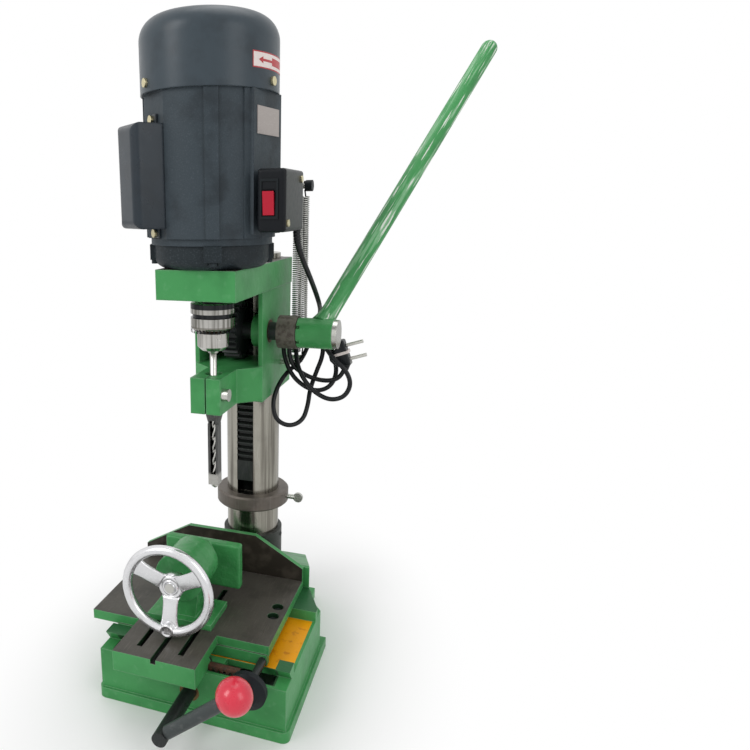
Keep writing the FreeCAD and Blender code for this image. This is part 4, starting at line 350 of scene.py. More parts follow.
def plastic(name, base, roughness=0.3, rounding=0.5, **sockets):
    """Moulded plastic or rubber with a faint mottle."""
    finish = Finish(name, base, roughness, **sockets)
    darker = tuple(channel * 0.75 for channel in base[:3]) + (1,)
    finish.tint(finish.ramp(finish.noise(8, 4), 0.5, 0.75), darker, 0.4)
    finish.vary("Roughness", finish.noise(4, 4), roughness * 0.8, roughness * 1.3)
    finish.bump(finish.noise(0.8, 2), 0.02, rounding=rounding)
    return finish


def base_finish():
    """Green casting with way tops painted darker and the front well painted near black, both painted shade,
    and a recess whose floor is greased yellow.
    """
    finish = green_paint("base_green")
    # Painted shade on the way tops under the table.
    top = finish.math("MULTIPLY", finish.facing("Z"), finish.box(**WAY_TOP_SHADE))
    finish.tint(top, colour(38, 84, 52), 0.85)
    # Painted shade in the well behind the front wall.
    finish.tint(finish.box(**FRONT_WELL_SHADE), colour(30, 44, 32), 0.8)
    floor = finish.math("MULTIPLY", finish.facing("Z"), finish.box(**RECESS_FLOOR))
    finish.tint(floor, colour(244, 164, 12))
    worn = finish.math("MULTIPLY", floor, finish.ramp(finish.noise(9, 5), 0.55, 0.68))
    finish.tint(worn, colour(206, 122, 8), 0.8)
    return finish


def table_finish():
    """Green casting with a scraped top whose slots, keyway and screw pocket are painted near black as painted
    shade.
    """
    finish = machined_top(green_paint("table_green"), 60, 84)
    # Painted shade inside the slots, keyway and screw pocket.
    for spans in (TABLE_SLOT_SHADE, TABLE_POCKET_SHADE):
        finish.tint(finish.box(**spans), BLACK, 0.9)
    return finish


def fence_finish():
    """Green plate whose working face is dark bare steel."""
    finish = green_paint("fence_green", 0.1)
    face = finish.facing("Y", -0.85, -0.95)
    finish.tint(face, colour(44, 40, 34))
    stains = finish.math("MULTIPLY", face, finish.ramp(finish.noise(16, 4), 0.45, 0.7))
    finish.tint(stains, colour(74, 68, 60), 0.6)
    return finish


def column_finish():
    """Ground steel with painted reflection streaks, its rack slot painted black as painted shade."""
    finish = metal("column_steel", colour(160, 157, 147), 0.24, 1.0, (1, 1, 0.02), 0.12)
    # Darker upright streaks: a painted reflection of the room.
    finish.tint(finish.streaks(9), colour(98, 94, 86), 0.8)
    # Painted shade in the rack slot.
    finish.tint(finish.box(**COLUMN_SLOT_SHADE), BLACK)
    return finish


def spring_finish():
    """Drawn wire, painted dark on the inside of the coils as painted shade."""
    finish = metal("spring_steel", colour(176, 176, 172), 0.3)
    # Painted shade on the inner side of the coils.
    finish.tint(finish.reach(5.3, 4.7, 57.5, 14), colour(20, 20, 20))
    return finish


def chuck_finish():
    """Ground steel with painted reflection streaks, blackened bands, a groove painted darker as painted shade
    and painted shade in the gaps between the teeth.
    """
    finish = metal("chuck_steel", colour(204, 202, 197), 0.18, 1.0, (1, 1, 0.5), 0.15)
    # Darker upright streaks: a painted reflection.
    finish.tint(finish.streaks(6), colour(104, 102, 94), 0.8)
    for band in CHUCK_BANDS:
        finish.tint(finish.box(**band), colour(30, 33, 38), 0.95)
    # Painted shade in the groove.
    finish.tint(finish.box(**CHUCK_GROOVE_SHADE), colour(120, 116, 108), 0.7)
    # Painted shade in the gaps between the teeth.
    gaps = finish.math("MULTIPLY", finish.box(**CHUCK_TOOTH_GAP_SHADE), finish.reach(22.6, 22.2))
    finish.tint(gaps, colour(34, 26, 18))
    return finish


def chisel_finish():
    """Blackened steel with a ground tip, painted black inside its chip window as painted shade."""
    finish = metal("chisel_steel", colour(74, 75, 74), 0.36, 0.8, dirt=0.3)
    finish.tint(finish.box(soft=5, **CHISEL_TIP), colour(168, 167, 162))
    # Painted shade inside the hollow chisel, seen through its chip window.
    inside = finish.math("MULTIPLY", finish.box(**CHISEL_WINDOW_SHADE), finish.reach(5.3, 5.0))
    finish.tint(inside, BLACK, 0.95)
    return finish


def plug_finish():
    """Black moulded plug; its pins, to the right of the body, are bare metal."""
    finish = plastic("plug_black", colour(22, 25, 28), 0.35, Specular_IOR_Level=0.25)
    split = finish.node("ShaderNodeSeparateXYZ")
    finish.links.new(finish.place, split.inputs[0])
    slope = math.radians(18)
    across = finish.math("MULTIPLY", split.outputs["X"], math.cos(slope))
    along = finish.math("ADD", across, finish.math("MULTIPLY", split.outputs["Z"], math.sin(slope)))
    pin = finish.ramp(along, 0.2305, 0.2308)
    finish.tint(pin, colour(205, 204, 198))
    finish.vary("Metallic", pin, 0.0, 0.95)
    return finish


# Each finish with the frame's nodes that wear it.
FINISHES = {
    "base_green": (base_finish(), ["base_casting"]),
    "head_green": (machined_top(green_paint("head_green", rounding=2.6), 469.5, 471), ["head_casting"]),
    "table_green": (table_finish(), ["table_casting"]),
    "clamp_green": (clamp_paint(), ["clamp_bracket", "clamp_jaw"]),
    "hub_green": (green_paint("hub_green"), ["feed_hub"]),
    "lever_green": (lever_paint(), ["feed_lever"]),
    "fence_green": (fence_finish(), ["fence"]),
    "motor_black": (crinkle_paint("motor_black", colour(56, 65, 71), 1.2), ["motor_housing"]),
    "bell_black": (crinkle_paint("bell_black", colour(32, 40, 44), 1.4), ["motor_end_bell", "motor_bolts"]),
    "cover_black": (satin_black("cover_black", colour(58, 68, 75), 0.31), ["fan_cover"]),
    "capacitor_black": (satin_black("capacitor_black", colour(42, 50, 57), 0.27, 3.0),
                        ["capacitor_cover", "capacitor"]),
    "switch_black": (plastic("switch_black", colour(18, 21, 25), 0.32, 3.0, Specular_IOR_Level=0.16),
                     ["switch_box"]),
    "knob_black": (plastic("knob_black", colour(22, 27, 30), 0.45, Specular_IOR_Level=0.16),
                   ["lock_knob", "spring_knob", "motor_fan"]),
    "rocker_red": (plastic("rocker_red", colour(176, 22, 46), 0.3, Specular_IOR_Level=0.3),
                   ["switch_rocker"]),
    "ball_red": (plastic("ball_red", colour(212, 36, 62), 0.28, Coat_Weight=0.3), ["traverse_ball"]),
    "rubber": (plastic("rubber", colour(18, 20, 23), 0.36, Specular_IOR_Level=0.28),
               ["cord_gland", "power_cord"]),
    "plug": (plug_finish(), ["power_plug"]),
    "column_steel": (column_finish(), ["column", "spring_post"]),
    "rack_steel": (metal("rack_steel", colour(36, 40, 38), 0.36, 0.5, shine=0.1), ["feed_rack"]),
    "rusty_brown": (rusty("rusty_brown", colour(96, 62, 50), 0.3), ["table_rack"]),
    "sleeve_steel": (metal("sleeve_steel", colour(50, 54, 50), 0.45, 0.4, (0.05, 0.05, 1), shine=0.08),
                     ["column_sleeve", "table_gib"]),
    "collar_steel": (rusty("collar_steel", colour(96, 92, 84)), ["feed_collar"]),
    "stop_steel": (metal("stop_steel", colour(100, 93, 86), 0.42, 0.5, dirt=0.45, grain=1.5, shine=0.08),
                   ["depth_collar"]),
    "chuck_steel": (chuck_finish(), ["chuck_body", "chuck_sleeve"]),
    "ring_steel": (metal("ring_steel", colour(190, 190, 184), 0.26, 1.0, (1, 1, 0.5), 0.35),
                   ["chuck_jaws", "hub_end_ring", "depth_thumb_screw"]),
    "wheel_metal": (metal("wheel_metal", colour(222, 222, 224), 0.24, 0.9, (1, 1, 1), 0.1, 1.5),
                    ["clamp_handwheel"]),
    "screw_zinc": (metal("screw_zinc", colour(206, 196, 158), 0.3, dirt=0.1), ["cover_screws"]),
    "bright_steel": (metal("bright_steel", colour(196, 195, 190), 0.28),
                     ["chisel_clamp_bolt", "clamp_bolts", "clamp_screw", "spring_bolts", "spring_pins",
                      "auger_bit", "motor_bearings", "traverse_pinion"]),
    "spring_steel": (spring_finish(), ["return_springs"]),
    "black_steel": (metal("black_steel", colour(34, 38, 38), 0.4, 0.4, shine=0.06),
                    ["traverse_shaft", "column_screws", "table_screws", "lock_stud", "rotor", "feed_shaft",
                     "feed_pinion"]),
    "rod_steel": (metal("rod_steel", colour(60, 66, 66), 0.42, 0.4, (0.3, 1, 0.3), 0.4, 2, 0.05),
                  ["traverse_rod"]),
    "chisel": (chisel_finish(), ["mortise_chisel"]),
    "plate": (metal("plate_metal", colour(168, 160, 156), 0.5, 0.35, (0.1, 0.1, 1), 0.1), ["name_plate"]),
    "bronze": (metal("bronze", colour(112, 88, 56), 0.4), ["feed_bushes", "traverse_bushes"]),
    "laminate": (metal("laminate", colour(120, 96, 78), 0.5, 0.6, (0.1, 0.1, 1)), ["motor_stator"]),
}

for finish, nodes in FINISHES.values():
    for node in nodes:
        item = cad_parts[node]
        item.data.materials.clear()
        item.data.materials.append(finish.material)


def finish_of(finish_name):
    """The material of a named finish."""
    return FINISHES[finish_name][0].material


# ---------------------------------------------------------------- power cord
# The same corners as the cord's solid has, in millimetres.
CORD_ROUTE = (
    (84, -121.5, 507), (84, -121.5, 496), (87.5, -112, 478), (90.5, -92, 459), (91.5, -66, 439),
    (90, -40, 423), (86, -16, 410.5), (79.5, -6, 396), (73.5, -8, 381), (70.5, -16, 366),
    (65, -26, 353), (53, -27.5, 343), (47, -38, 334), (43.5, -51, 322), (42.7, -59, 308),
    (47.5, -61.5, 291.5), (62.5, -57.5, 284), (75.5, -46.5, 289.5), (78.5, -36, 306),
    (78, -27, 321), (84, -22.5, 342), (90.5, -18.5, 360.5), (90.5, -18.5, 379), (78, -20, 396),
    (61.5, -26.5, 397.5), (48.5, -27.5, 386), (46, -30, 369.5), (51, -33.5, 353),
    (60, -37, 338.5), (73.5, -38.5, 328), (89, -38, 323), (103.5, -34, 328.5),
    (108.5, -24, 342.5), (104.5, -19, 359), (99.5, -24, 376.5), (88, -26.5, 388.3),
    (72, -27, 388.3), (61.5, -28.5, 376.5), (62.5, -33, 361.5), (68, -41.5, 348.5),
    (78, -47, 334.5), (90.5, -47.5, 323), (106.5, -47.5, 316.5), (122.5, -47, 321.5),
    (129.5, -47, 337), (123, -47, 352.5), (109, -45, 363), (97.5, -40, 375.5), (85, -36, 389.5),
    (69, -35.5, 391), (56.5, -35.5, 380.5), (54.5, -36, 366), (59.5, -36, 350.5),
    (73.5, -35, 340.5), (89, -32, 335), (104.5, -31, 335), (115.8, -32, 342), (120.2, -32, 354.5),
)
CORD_DIAMETER = 5.2


def power_cord():
    """Round flex that follows the route's corners."""
    data = bpy.data.curves.new("cord_curve", "CURVE")
    data.dimensions = "3D"
    data.resolution_u = 10
    data.bevel_depth = CORD_DIAMETER / 2 * MM
    data.bevel_resolution = 5
    data.use_fill_caps = True
    spline = data.splines.new("NURBS")
    spline.points.add(len(CORD_ROUTE) - 1)
    for point, corner in zip(spline.points, CORD_ROUTE):
        point.co = (*(Vector(corner) * MM), 1)
    spline.order_u = 3
    spline.use_endpoint_u = True
    data.materials.append(finish_of("rubber"))
    item = bpy.data.objects.new("cord_curve", data)
    bpy.context.collection.objects.link(item)
    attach(item, "head")
    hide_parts("power_cord")
    return item


# ---------------------------------------------------------------- mesh helpers
def piece(name, vertices, faces, finish_name, body, smooth=True, replaces=()):
    """A mesh piece, from millimetres, that rides on a body if one is named."""
    mesh = bpy.data.meshes.new(name)
    mesh.from_pydata([Vector(v) * MM for v in vertices], [], faces)
    mesh.update()
    solid = bmesh.new()
    solid.from_mesh(mesh)
    bmesh.ops.remove_doubles(solid, verts=solid.verts, dist=1e-6)
    bmesh.ops.recalc_face_normals(solid, faces=solid.faces)
    solid.to_mesh(mesh)
    solid.free()
    mesh.materials.append(finish_of(finish_name))
    for face in mesh.polygons:
        face.use_smooth = smooth
    item = bpy.data.objects.new(name, mesh)
    bpy.context.collection.objects.link(item)
    if body:
        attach(item, body)
    if replaces:
        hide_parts(*replaces)
    return item


def grid_faces(rows, columns):
    """Quads between rows of points, each row a closed ring."""
    faces = []
    for row in range(rows - 1):
        this = row * columns
        after = this + columns
        for column in range(columns):
            beside = (column + 1) % columns
            faces.append((this + column, this + beside, after + beside, after + column))
    return faces


def sweep(line, radius, sides=8):
    """Points and faces of a round wire along a line; radius may be a function of the share done."""
    normal = Vector((0.3, 0.9, 0.2))
    points = []
    for index, spot in enumerate(line):
        ahead = line[min(index + 1, len(line) - 1)] - line[max(index - 1, 0)]
        normal = (normal - ahead * (normal.dot(ahead) / ahead.length_squared)).normalized()
        side = ahead.normalized().cross(normal)
        size = radius(index / (len(line) - 1)) if callable(radius) else radius
        for step in range(sides):
            angle = TURN * step / sides
            points.append(spot + (normal * math.cos(angle) + side * math.sin(angle)) * size)
    faces = grid_faces(len(line), sides)
    faces.append(tuple(range(sides))[::-1])
    faces.append(tuple(range((len(line) - 1) * sides, len(line) * sides)))
    return points, faces


# ---------------------------------------------------------------- strain relief
def cord_start(step):
    """Place on the cord that many spans after its start, for its first two spans."""
    first, second, third, fourth = (Vector(corner) for corner in CORD_ROUTE[:4])
    if step <= 1:
        return first * (1 - step) ** 2 + second * (2 * step - 1.5 * step ** 2) + third * (step ** 2 / 2)
    step -= 1
    return second * (1 - step) ** 2 / 2 + third * (0.5 + step - step ** 2) + fourth * (step ** 2 / 2)


def strain_relief():
    """Slim ribbed rubber sleeve that tapers down the cord from the switch box."""
    count = 61
    spans = 1.45
    bands = 20
    root, taper, groove = 4.0, 1.3, 0.45
    line = [cord_start(spans * index / (count - 1)) for index in range(count)]

    def radius(share):
        """Every second band is a groove."""
        cut = groove if int(share * bands) % 2 else 0.0
        return root - taper * share - cut

    points, faces = sweep(line, radius, 20)
    piece("strain_relief", points, faces, "rubber", "head", replaces=["cord_gland"])


# ---------------------------------------------------------------- return springs
SPRING_X = 57.5
SPRING_LOW = 350
SPRING_HIGH = 551
SPRING_RADIUS = 4.9
SPRING_PITCH = 2.35
WIRE_RADIUS = 0.88
HOOK_RADIUS = 4.8
HOOK_SWEEP = 280
HOOK_ROOM = 12
HOOK_STEPS = 16
COIL_STEPS = 14


def spring_line(y):
    """The wire's middle line: lower hook, close coils, upper hook."""
    low = SPRING_LOW + HOOK_ROOM
    high = SPRING_HIGH - HOOK_ROOM
    turns = int((high - low) / SPRING_PITCH)
    steps = turns * COIL_STEPS

    def hook_line(middle, start):
        """Three quarters of a ring round a pin that points along x."""
        angles = [math.radians(start + HOOK_SWEEP * step / HOOK_STEPS) for step in range(HOOK_STEPS + 1)]
        return [Vector((SPRING_X, y + HOOK_RADIUS * math.cos(angle), middle + HOOK_RADIUS * math.sin(angle)))
                for angle in angles]

    line = hook_line(SPRING_LOW, -190)
    for step in range(steps + 1):
        share = step / steps
        angle = TURN * turns * share + math.pi / 2
        line.append(Vector((SPRING_X + SPRING_RADIUS * math.cos(angle), y + SPRING_RADIUS * math.sin(angle),
                            low + (high - low) * share)))
    return line + hook_line(SPRING_HIGH, -90)


def springs():
    """Two coiled springs that stretch between the post and the head."""
    for name, y in (("front_spring", -14), ("rear_spring", 14)):
        points, faces = sweep(spring_line(y), WIRE_RADIUS, 7)
        item = piece(name, points, faces, "spring_steel", None)
        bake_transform(item)
        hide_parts("return_springs")


# ---------------------------------------------------------------- auger
def auger():
    """Twisted auger inside the hollow chisel, its plain shank above."""
    axis = Vector((0, SPINDLE_Y, 0))
    sides = 28
    pitch = 28
    shank = 3.65
    flute_depth = 0.62
    tip, root, top = 231.0, 312.0, 405.0
    point_height = 2
    row_gap = 1.1
    fluted_rows = int((root - tip - point_height) / row_gap)
    rows = [tip, tip + 0.8] + [tip + point_height + index * row_gap for index in range(fluted_rows)]
    rows += [root, root + 3, top]
    points = []
    for height in rows:
        twist = (height - tip) / pitch * TURN
        depth = flute_depth if height < root - 4 else 0.0
        for step in range(sides):
            angle = TURN * step / sides
            lobe = abs(math.cos(angle - twist)) ** 1.6
            radius = shank * (1 - depth * (1 - lobe))
            if height < tip + point_height:
                radius *= 0.25 + 0.3 * (height - tip)
            points.append(axis + Vector((radius * math.cos(angle), radius * math.sin(angle), height)))
    faces = grid_faces(len(rows), sides)
    faces += [tuple(range(sides))[::-1], tuple(range(len(points) - sides, len(points)))]
    piece("auger_twist", points, faces, "bright_steel", "spindle", replaces=["auger_bit"])


# ---------------------------------------------------------------- chuck key holes and teeth
KEY_HOLES = 3
KEY_HOLE_FACING = 42.4
KEY_HOLE_HEIGHT = 400.3
NOSE_RADIUS = 16.4
TEETH = 30


def key_holes():
    """Bored holes round the chuck's nose, each a bright rim round a dark dish of painted shade inside the
    hole.
    """
    steps = 20
    for index in range(KEY_HOLES):
        facing = math.radians(KEY_HOLE_FACING + 360 / KEY_HOLES * index)
        out = Vector((math.sin(facing), -math.cos(facing), 0))
        across = Vector((math.cos(facing), math.sin(facing), 0))
        middle = Vector((0, SPINDLE_Y, KEY_HOLE_HEIGHT))
        for name, finish_name, rings in (
                ("key_hole_rim", "chuck_steel", [(3.4, 16.1), (3.3, 16.75), (2.9, 16.8), (2.8, 16.2)]),
                # The dark dish stands for the shade inside the hole.
                ("key_hole_shade", "knob_black", [(2.85, 16.5), (1.6, 15.9), (0.02, 15.7)])):
            points = []
            for radius, reach in rings:
                for step in range(steps):
                    angle = TURN * step / steps
                    side = radius * math.cos(angle)
                    drop = NOSE_RADIUS - math.sqrt(NOSE_RADIUS ** 2 - side ** 2)
                    points.append(middle + out * (reach - drop) + across * side
                                  + Vector((0, 0, radius * math.sin(angle))))
            piece(f"{name}_{index}", points, grid_faces(len(rings), steps), finish_name, "spindle")


def tooth_gap_shade():
    """Dark wedges of painted shade in the gaps between the teeth that the chuck's key runs on."""
    inner, outer = 22.7, 22.98
    low, high = 404.3, 408.2
    half_gap = 0.24
    wedge = ((0, 1, 2), (3, 5, 4), (0, 3, 4, 1), (1, 4, 5, 2), (2, 5, 3, 0))
    points = []
    faces = []
    for index in range(TEETH):
        first = len(points)
        for layer in (inner, outer):
            for part, height in ((half_gap, low), (-half_gap, low), (0, high)):
                angle = TURN * (index + 0.5 + part) / TEETH
                points.append((layer * math.cos(angle), SPINDLE_Y + layer * math.sin(angle), height))
        faces += [tuple(first + corner for corner in corners) for corners in wedge]
    piece("tooth_gap_shade", points, faces, "knob_black", "spindle", smooth=False)


# ---------------------------------------------------------------- switch frame
def switch_frame():
    """Raised frame round the rocker, and the rocker's dark well."""
    middle, height = 73.4, 534.6
    face_y = -180
    outer, inner = (8.6, 17.6), (6.7, 15.2)
    points = []
    for half, depth in ((outer, 0.05), (outer, 1.1), (inner, 1.1), (inner, 0.1)):
        for right, top in ((-1, -1), (1, -1), (1, 1), (-1, 1)):
            points.append((middle + right * half[0], face_y - depth, height + top * half[1]))
    piece("switch_frame", points, grid_faces(4, 4), "knob_black", "head", smooth=False)


# ---------------------------------------------------------------- handwheel
WHEEL = Vector((-26.9, -206, 139))
WHEEL_RIM = 46.75
RIM_TUBE = 5.3
RIM_STEPS = 72
RIM_SIDES = 14
# Outlines of (radius, distance towards the operator); the hub's starts in the middle of its
# front, the boss's at its edge.
HUB_PROFILE = (
    (0.1, -5.4), (4.9, -5.4), (5.4, -5.9), (5.5, -7.4), (6.4, -7.4), (6.6, -6.6), (8.6, -6.5),
    (8.8, -7.3), (9.4, -7.3), (9.6, -6.6), (12.6, -6.9), (14.0, -8.2), (14.2, -15), (12.5, -18.9),
    (5.4, -18.9),
)
HUB_STEPS = 40
BOSS_PROFILE = ((7.9, -2), (7.7, 4.6), (7.0, 5.9), (5.6, 6.1), (5.0, 5.3), (2.0, 5.1), (0.05, 5.1))
BOSS_STEPS = 24
SPOKES = 3
SPOKE_ROWS = 14
SPOKE_SIDES = 12


def wheel_point(radius, angle, forward):
    """A point of the handwheel; forward is towards the operator from the rim's plane."""
    return WHEEL + Vector((radius * math.sin(angle), -forward, radius * math.cos(angle)))


def wheel_rim():
    """Round rim; its last row of points joins its first."""
    points = []
    for step in range(RIM_STEPS):
        angle = TURN * step / RIM_STEPS
        for side in range(RIM_SIDES):
            around = TURN * side / RIM_SIDES
            points.append(wheel_point(WHEEL_RIM + RIM_TUBE * math.cos(around), angle,
                                      RIM_TUBE * math.sin(around)))
    last = (RIM_STEPS - 1) * RIM_SIDES
    faces = grid_faces(RIM_STEPS, RIM_SIDES)
    for side in range(RIM_SIDES):
        beside = (side + 1) % RIM_SIDES
        faces.append((last + side, last + beside, beside, side))
    return points, faces


def wheel_hub():
    """Turned hub: the screw's end in the middle, with two grooves round it."""
    points = []
    for radius, forward in HUB_PROFILE:
        points += [wheel_point(radius, TURN * step / HUB_STEPS, forward) for step in range(HUB_STEPS)]
    return points, grid_faces(len(HUB_PROFILE), HUB_STEPS)


def squared(value, power):
    """A sine or cosine pushed outwards, which turns a circle into a rounded rectangle."""
    return math.copysign(abs(value) ** power, value)


def wheel_spoke(number):
    """Flat spoke, dished from the rim back to the hub and wider at both ends."""
    middle = TURN / 2 + TURN * number / SPOKES
    sideways = Vector((math.cos(middle), 0, -math.sin(middle)))
    points = []
    for row in range(SPOKE_ROWS):
        share = row / (SPOKE_ROWS - 1)
        radius = 10 + (WHEEL_RIM - 9) * share
        at_rim = 4.6 * max(0, (share - 0.5) / 0.5) ** 2
        at_hub = 1.8 * max(0, (0.25 - share) / 0.25) ** 2
        half = 8.6 + at_rim + at_hub
        forward = -9.4 + 8.2 * share ** 0.8
        for side in range(SPOKE_SIDES):
            around = TURN * side / SPOKE_SIDES
            across = half * squared(math.cos(around), 0.45)
            lift = 2.4 * squared(math.sin(around), 0.4)
            points.append(wheel_point(radius, middle, forward + lift) + sideways * across)
    last = (SPOKE_ROWS - 1) * SPOKE_SIDES
    caps = [tuple(range(SPOKE_SIDES)), tuple(range(last, last + SPOKE_SIDES))]
    return points, grid_faces(SPOKE_ROWS, SPOKE_SIDES) + caps


def wheel_boss():
    """Round boss where the lowest spoke meets the rim, with a sunk middle."""
    middle = wheel_point(WHEEL_RIM - 2.5, TURN / 2, 0)
    points = []
    for radius, forward in BOSS_PROFILE:
        for step in range(BOSS_STEPS):
            angle = TURN * step / BOSS_STEPS
            points.append(middle + Vector((radius * math.cos(angle), -forward, radius * math.sin(angle))))
    return points, grid_faces(len(BOSS_PROFILE), BOSS_STEPS)


def handwheel():
    """Cast and polished wheel: rim, hub, three spokes and a boss in one mesh."""
    points = []
    faces = []
    forms = [wheel_rim(), wheel_hub()]
    forms += [wheel_spoke(number) for number in range(SPOKES)]
    forms.append(wheel_boss())
    for form_points, form_faces in forms:
        offset = len(points)
        points += form_points
        faces += [tuple(index + offset for index in face) for face in form_faces]
    piece("handwheel_casting", points, faces, "wheel_metal", "clamp_wheel", replaces=["clamp_handwheel"])


# ---------------------------------------------------------------- lever weld
def lever_weld():
    """Filled weld that flares from the lever into its hub."""
    root = Vector((92.3, -60, 394))
    start, row_gap, rows = 12, 1.6, 14
    lever_radius, flare = 9.78, 3.4
    line = [root + Vector(LEVER_ALONG) * (start + row * row_gap) for row in range(rows)]
    points, faces = sweep(line, lambda share: lever_radius + flare * (1 - share) ** 2.2, 28)
    piece("lever_weld", points, faces, "lever_green", "feed_arm")


# ---------------------------------------------------------------- arrow sticker
COVER_RADIUS = 66.2


def cover_patch(name, outline, finish_name, lift, columns=10):
    """A thin patch on the fan cover from (facing in degrees, height) corners of a four-sided outline."""
    low_left, low_right, high_right, high_left = (Vector(corner) for corner in outline)
    points = []
    for layer in (0, lift):
        for column in range(columns + 1):
            share = column / columns
            for spot in (low_left.lerp(low_right, share), high_left.lerp(high_right, share)):
                facing = math.radians(spot.x)
                radius = COVER_RADIUS + layer
                points.append((radius * math.sin(facing), SPINDLE_Y - radius * math.cos(facing), spot.y))
    top = (columns + 1) * 2
    faces = []
    for column in range(columns):
        low = column * 2
        over = top + low
        faces += [(low, low + 1, low + 3, low + 2), (over, over + 2, over + 3, over + 1),
                  (low, low + 2, over + 2, over), (low + 1, over + 1, over + 3, low + 3)]
    last = columns * 2
    faces += [(0, top, top + 1, 1), (last, last + 1, top + last + 1, top + last)]
    piece(name, points, faces, finish_name, "head", smooth=False)


FINISHES["sticker_white"] = (plastic("sticker_white", colour(226, 214, 210), 0.4), [])
FINISHES["sticker_red"] = (plastic("sticker_red", colour(178, 52, 58), 0.4), [])


def rectangle(left, right, low, high):
    """The corners of a patch's outline, from the lower left one round to the upper left one."""
    return (left, low), (right, low), (right, high), (left, high)


def arrow_sticker():
    """White sticker with a red edge and an arrow for the way the motor turns."""
    left, right, low, high = 56.0, 104.0, 646.7, 660.5
    edge = 1.0
    turn = math.degrees(edge / COVER_RADIUS)
    cover_patch("sticker_edge", rectangle(left, right, low, high), "sticker_red", 0.12)
    cover_patch("sticker_face", rectangle(left + turn, right - turn, low + edge, high - edge),
                "sticker_white", 0.2)
    middle = (low + high) / 2
    tip, neck, head = 62, 67, 2.9
    cover_patch("arrow_head", ((tip, middle), (neck, middle - head), (neck, middle + head), (tip, middle)),
                "sticker_red", 0.28, 4)
    for name, start, end, half, columns in (("arrow_shaft", 66, 79, 1.0, 4), ("arrow_block", 79, 99, 3.2, 6)):
        cover_patch(name, rectangle(start, end, middle - half, middle + half), "sticker_red", 0.28, columns)


# ---------------------------------------------------------------- plug band
def plug_band():
    """White band across the plug."""
    start = Vector((107.4, -32, 365.6))
    end = Vector((122.8, -32, 371.2))
    along = (end - start).normalized()
    up = Vector((-along.z, 0, along.x))
    half_thick, half_wide = 7.25, 1.6
    points = []
    for spot in (start, end):
        for depth, height in ((-half_thick, -half_wide), (half_thick, -half_wide), (half_thick, half_wide),
                              (-half_thick, half_wide)):
            points.append(spot + up * height + Vector((0, depth, 0)))
    faces = grid_faces(2, 4) + [(0, 1, 2, 3), (4, 7, 6, 5)]
    return piece("plug_band", points, faces, "sticker_white", "head", smooth=False)


cord = power_cord()
band = plug_band()
strain_relief()
springs()
auger()
key_holes()
tooth_gap_shade()
switch_frame()
handwheel()
lever_weld()
arrow_sticker()


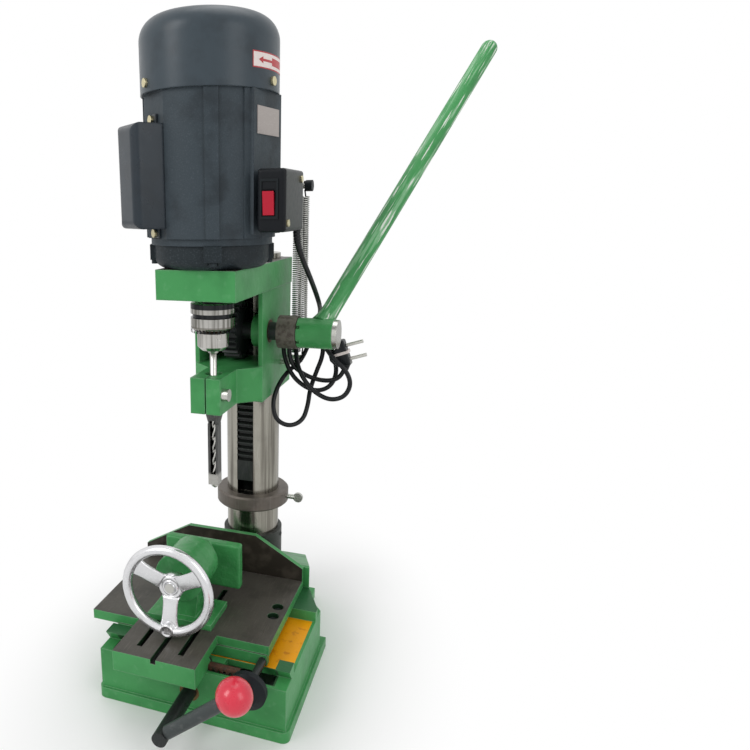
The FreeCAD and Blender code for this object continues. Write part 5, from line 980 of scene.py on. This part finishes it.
# ---------------------------------------------------------------- floor and light
def add_floor():
    """Pale floor that keeps the shadow near the machine and fades to white away from it."""
    half = 9
    shadow_y, shadow_half_x, shadow_half_y = -0.1, 0.13, 0.21
    mesh = bpy.data.meshes.new("floor")
    mesh.from_pydata([(-half, -half, 0), (half, -half, 0), (half, half, 0), (-half, half, 0)], [],
                     [(0, 1, 2, 3)])
    material = bpy.data.materials.new("floor")
    material.use_nodes = True
    nodes, links = material.node_tree.nodes, material.node_tree.links
    shader = nodes["Principled BSDF"]
    shader.inputs["Base Color"].default_value = (0.9, 0.9, 0.9, 1)
    shader.inputs["Roughness"].default_value = 0.8
    glow = nodes.new("ShaderNodeEmission")
    glow.inputs["Color"].default_value = (1, 1, 1, 1)
    place = nodes.new("ShaderNodeTexCoord")
    spread = nodes.new("ShaderNodeVectorMath")
    spread.operation = "MULTIPLY_ADD"
    spread.inputs[1].default_value = (1 / shadow_half_x, 1 / shadow_half_y, 0)
    spread.inputs[2].default_value = (0, -shadow_y / shadow_half_y, 0)
    links.new(place.outputs["Object"], spread.inputs[0])
    length = nodes.new("ShaderNodeVectorMath")
    length.operation = "LENGTH"
    links.new(spread.outputs["Vector"], length.inputs[0])
    fade = nodes.new("ShaderNodeMapRange")
    fade.interpolation_type = "SMOOTHSTEP"
    fade.inputs["From Min"].default_value = 0.8
    fade.inputs["From Max"].default_value = 2.2
    links.new(length.outputs["Value"], fade.inputs["Value"])
    seen = nodes.new("ShaderNodeLightPath")
    share = nodes.new("ShaderNodeMath")
    share.operation = "MULTIPLY"
    links.new(fade.outputs["Result"], share.inputs[0])
    links.new(seen.outputs["Is Camera Ray"], share.inputs[1])
    mix = nodes.new("ShaderNodeMixShader")
    links.new(share.outputs[0], mix.inputs[0])
    links.new(shader.outputs[0], mix.inputs[1])
    links.new(glow.outputs[0], mix.inputs[2])
    links.new(mix.outputs[0], nodes["Material Output"].inputs["Surface"])
    mesh.materials.append(material)
    floor = bpy.data.objects.new("floor", mesh)
    bpy.context.collection.objects.link(floor)


def add_world():
    """Plain soft light from all round, white where the camera or a reflection sees it."""
    world = bpy.data.worlds.new("studio")
    bpy.context.scene.world = world
    world.use_nodes = True
    nodes, links = world.node_tree.nodes, world.node_tree.links
    soft = nodes["Background"]
    soft.inputs["Color"].default_value = (1, 1, 1, 1)
    soft.inputs["Strength"].default_value = 0.62
    white = nodes.new("ShaderNodeBackground")
    white.inputs["Color"].default_value = (1, 1, 1, 1)
    path = nodes.new("ShaderNodeLightPath")
    mix = nodes.new("ShaderNodeMixShader")
    seen = path.outputs["Is Camera Ray"]
    for other in ("Is Glossy Ray", "Is Transmission Ray"):
        either = nodes.new("ShaderNodeMath")
        either.operation = "MAXIMUM"
        links.new(seen, either.inputs[0])
        links.new(path.outputs[other], either.inputs[1])
        seen = either.outputs[0]
    links.new(seen, mix.inputs[0])
    links.new(soft.outputs[0], mix.inputs[1])
    links.new(white.outputs[0], mix.inputs[2])
    links.new(mix.outputs[0], nodes["World Output"].inputs["Surface"])


def add_lamp(name, spot, target, size, power):
    """An oblong soft light that faces its target."""
    data = bpy.data.lights.new(name, "AREA")
    data.shape = "RECTANGLE"
    data.size, data.size_y = size
    data.energy = power
    lamp = bpy.data.objects.new(name, data)
    lamp.location = spot
    lamp.rotation_euler = (Vector(target) - Vector(spot)).to_track_quat("-Z", "Y").to_euler()
    bpy.context.collection.objects.link(lamp)


add_floor()
add_world()
add_lamp("key", (-1.1, -1.5, 1.5), (0, -0.1, 0.35), (0.7, 1.2), 15)
add_lamp("fill", (1.5, -0.9, 1.1), (0, -0.1, 0.35), (0.8, 1.2), 6)
add_lamp("top", (0.1, 0.2, 1.9), (0, -0.1, 0.3), (1.0, 1.0), 6)
bpy.context.scene.view_settings.view_transform = "Standard"

bpy.context.view_layer.update()
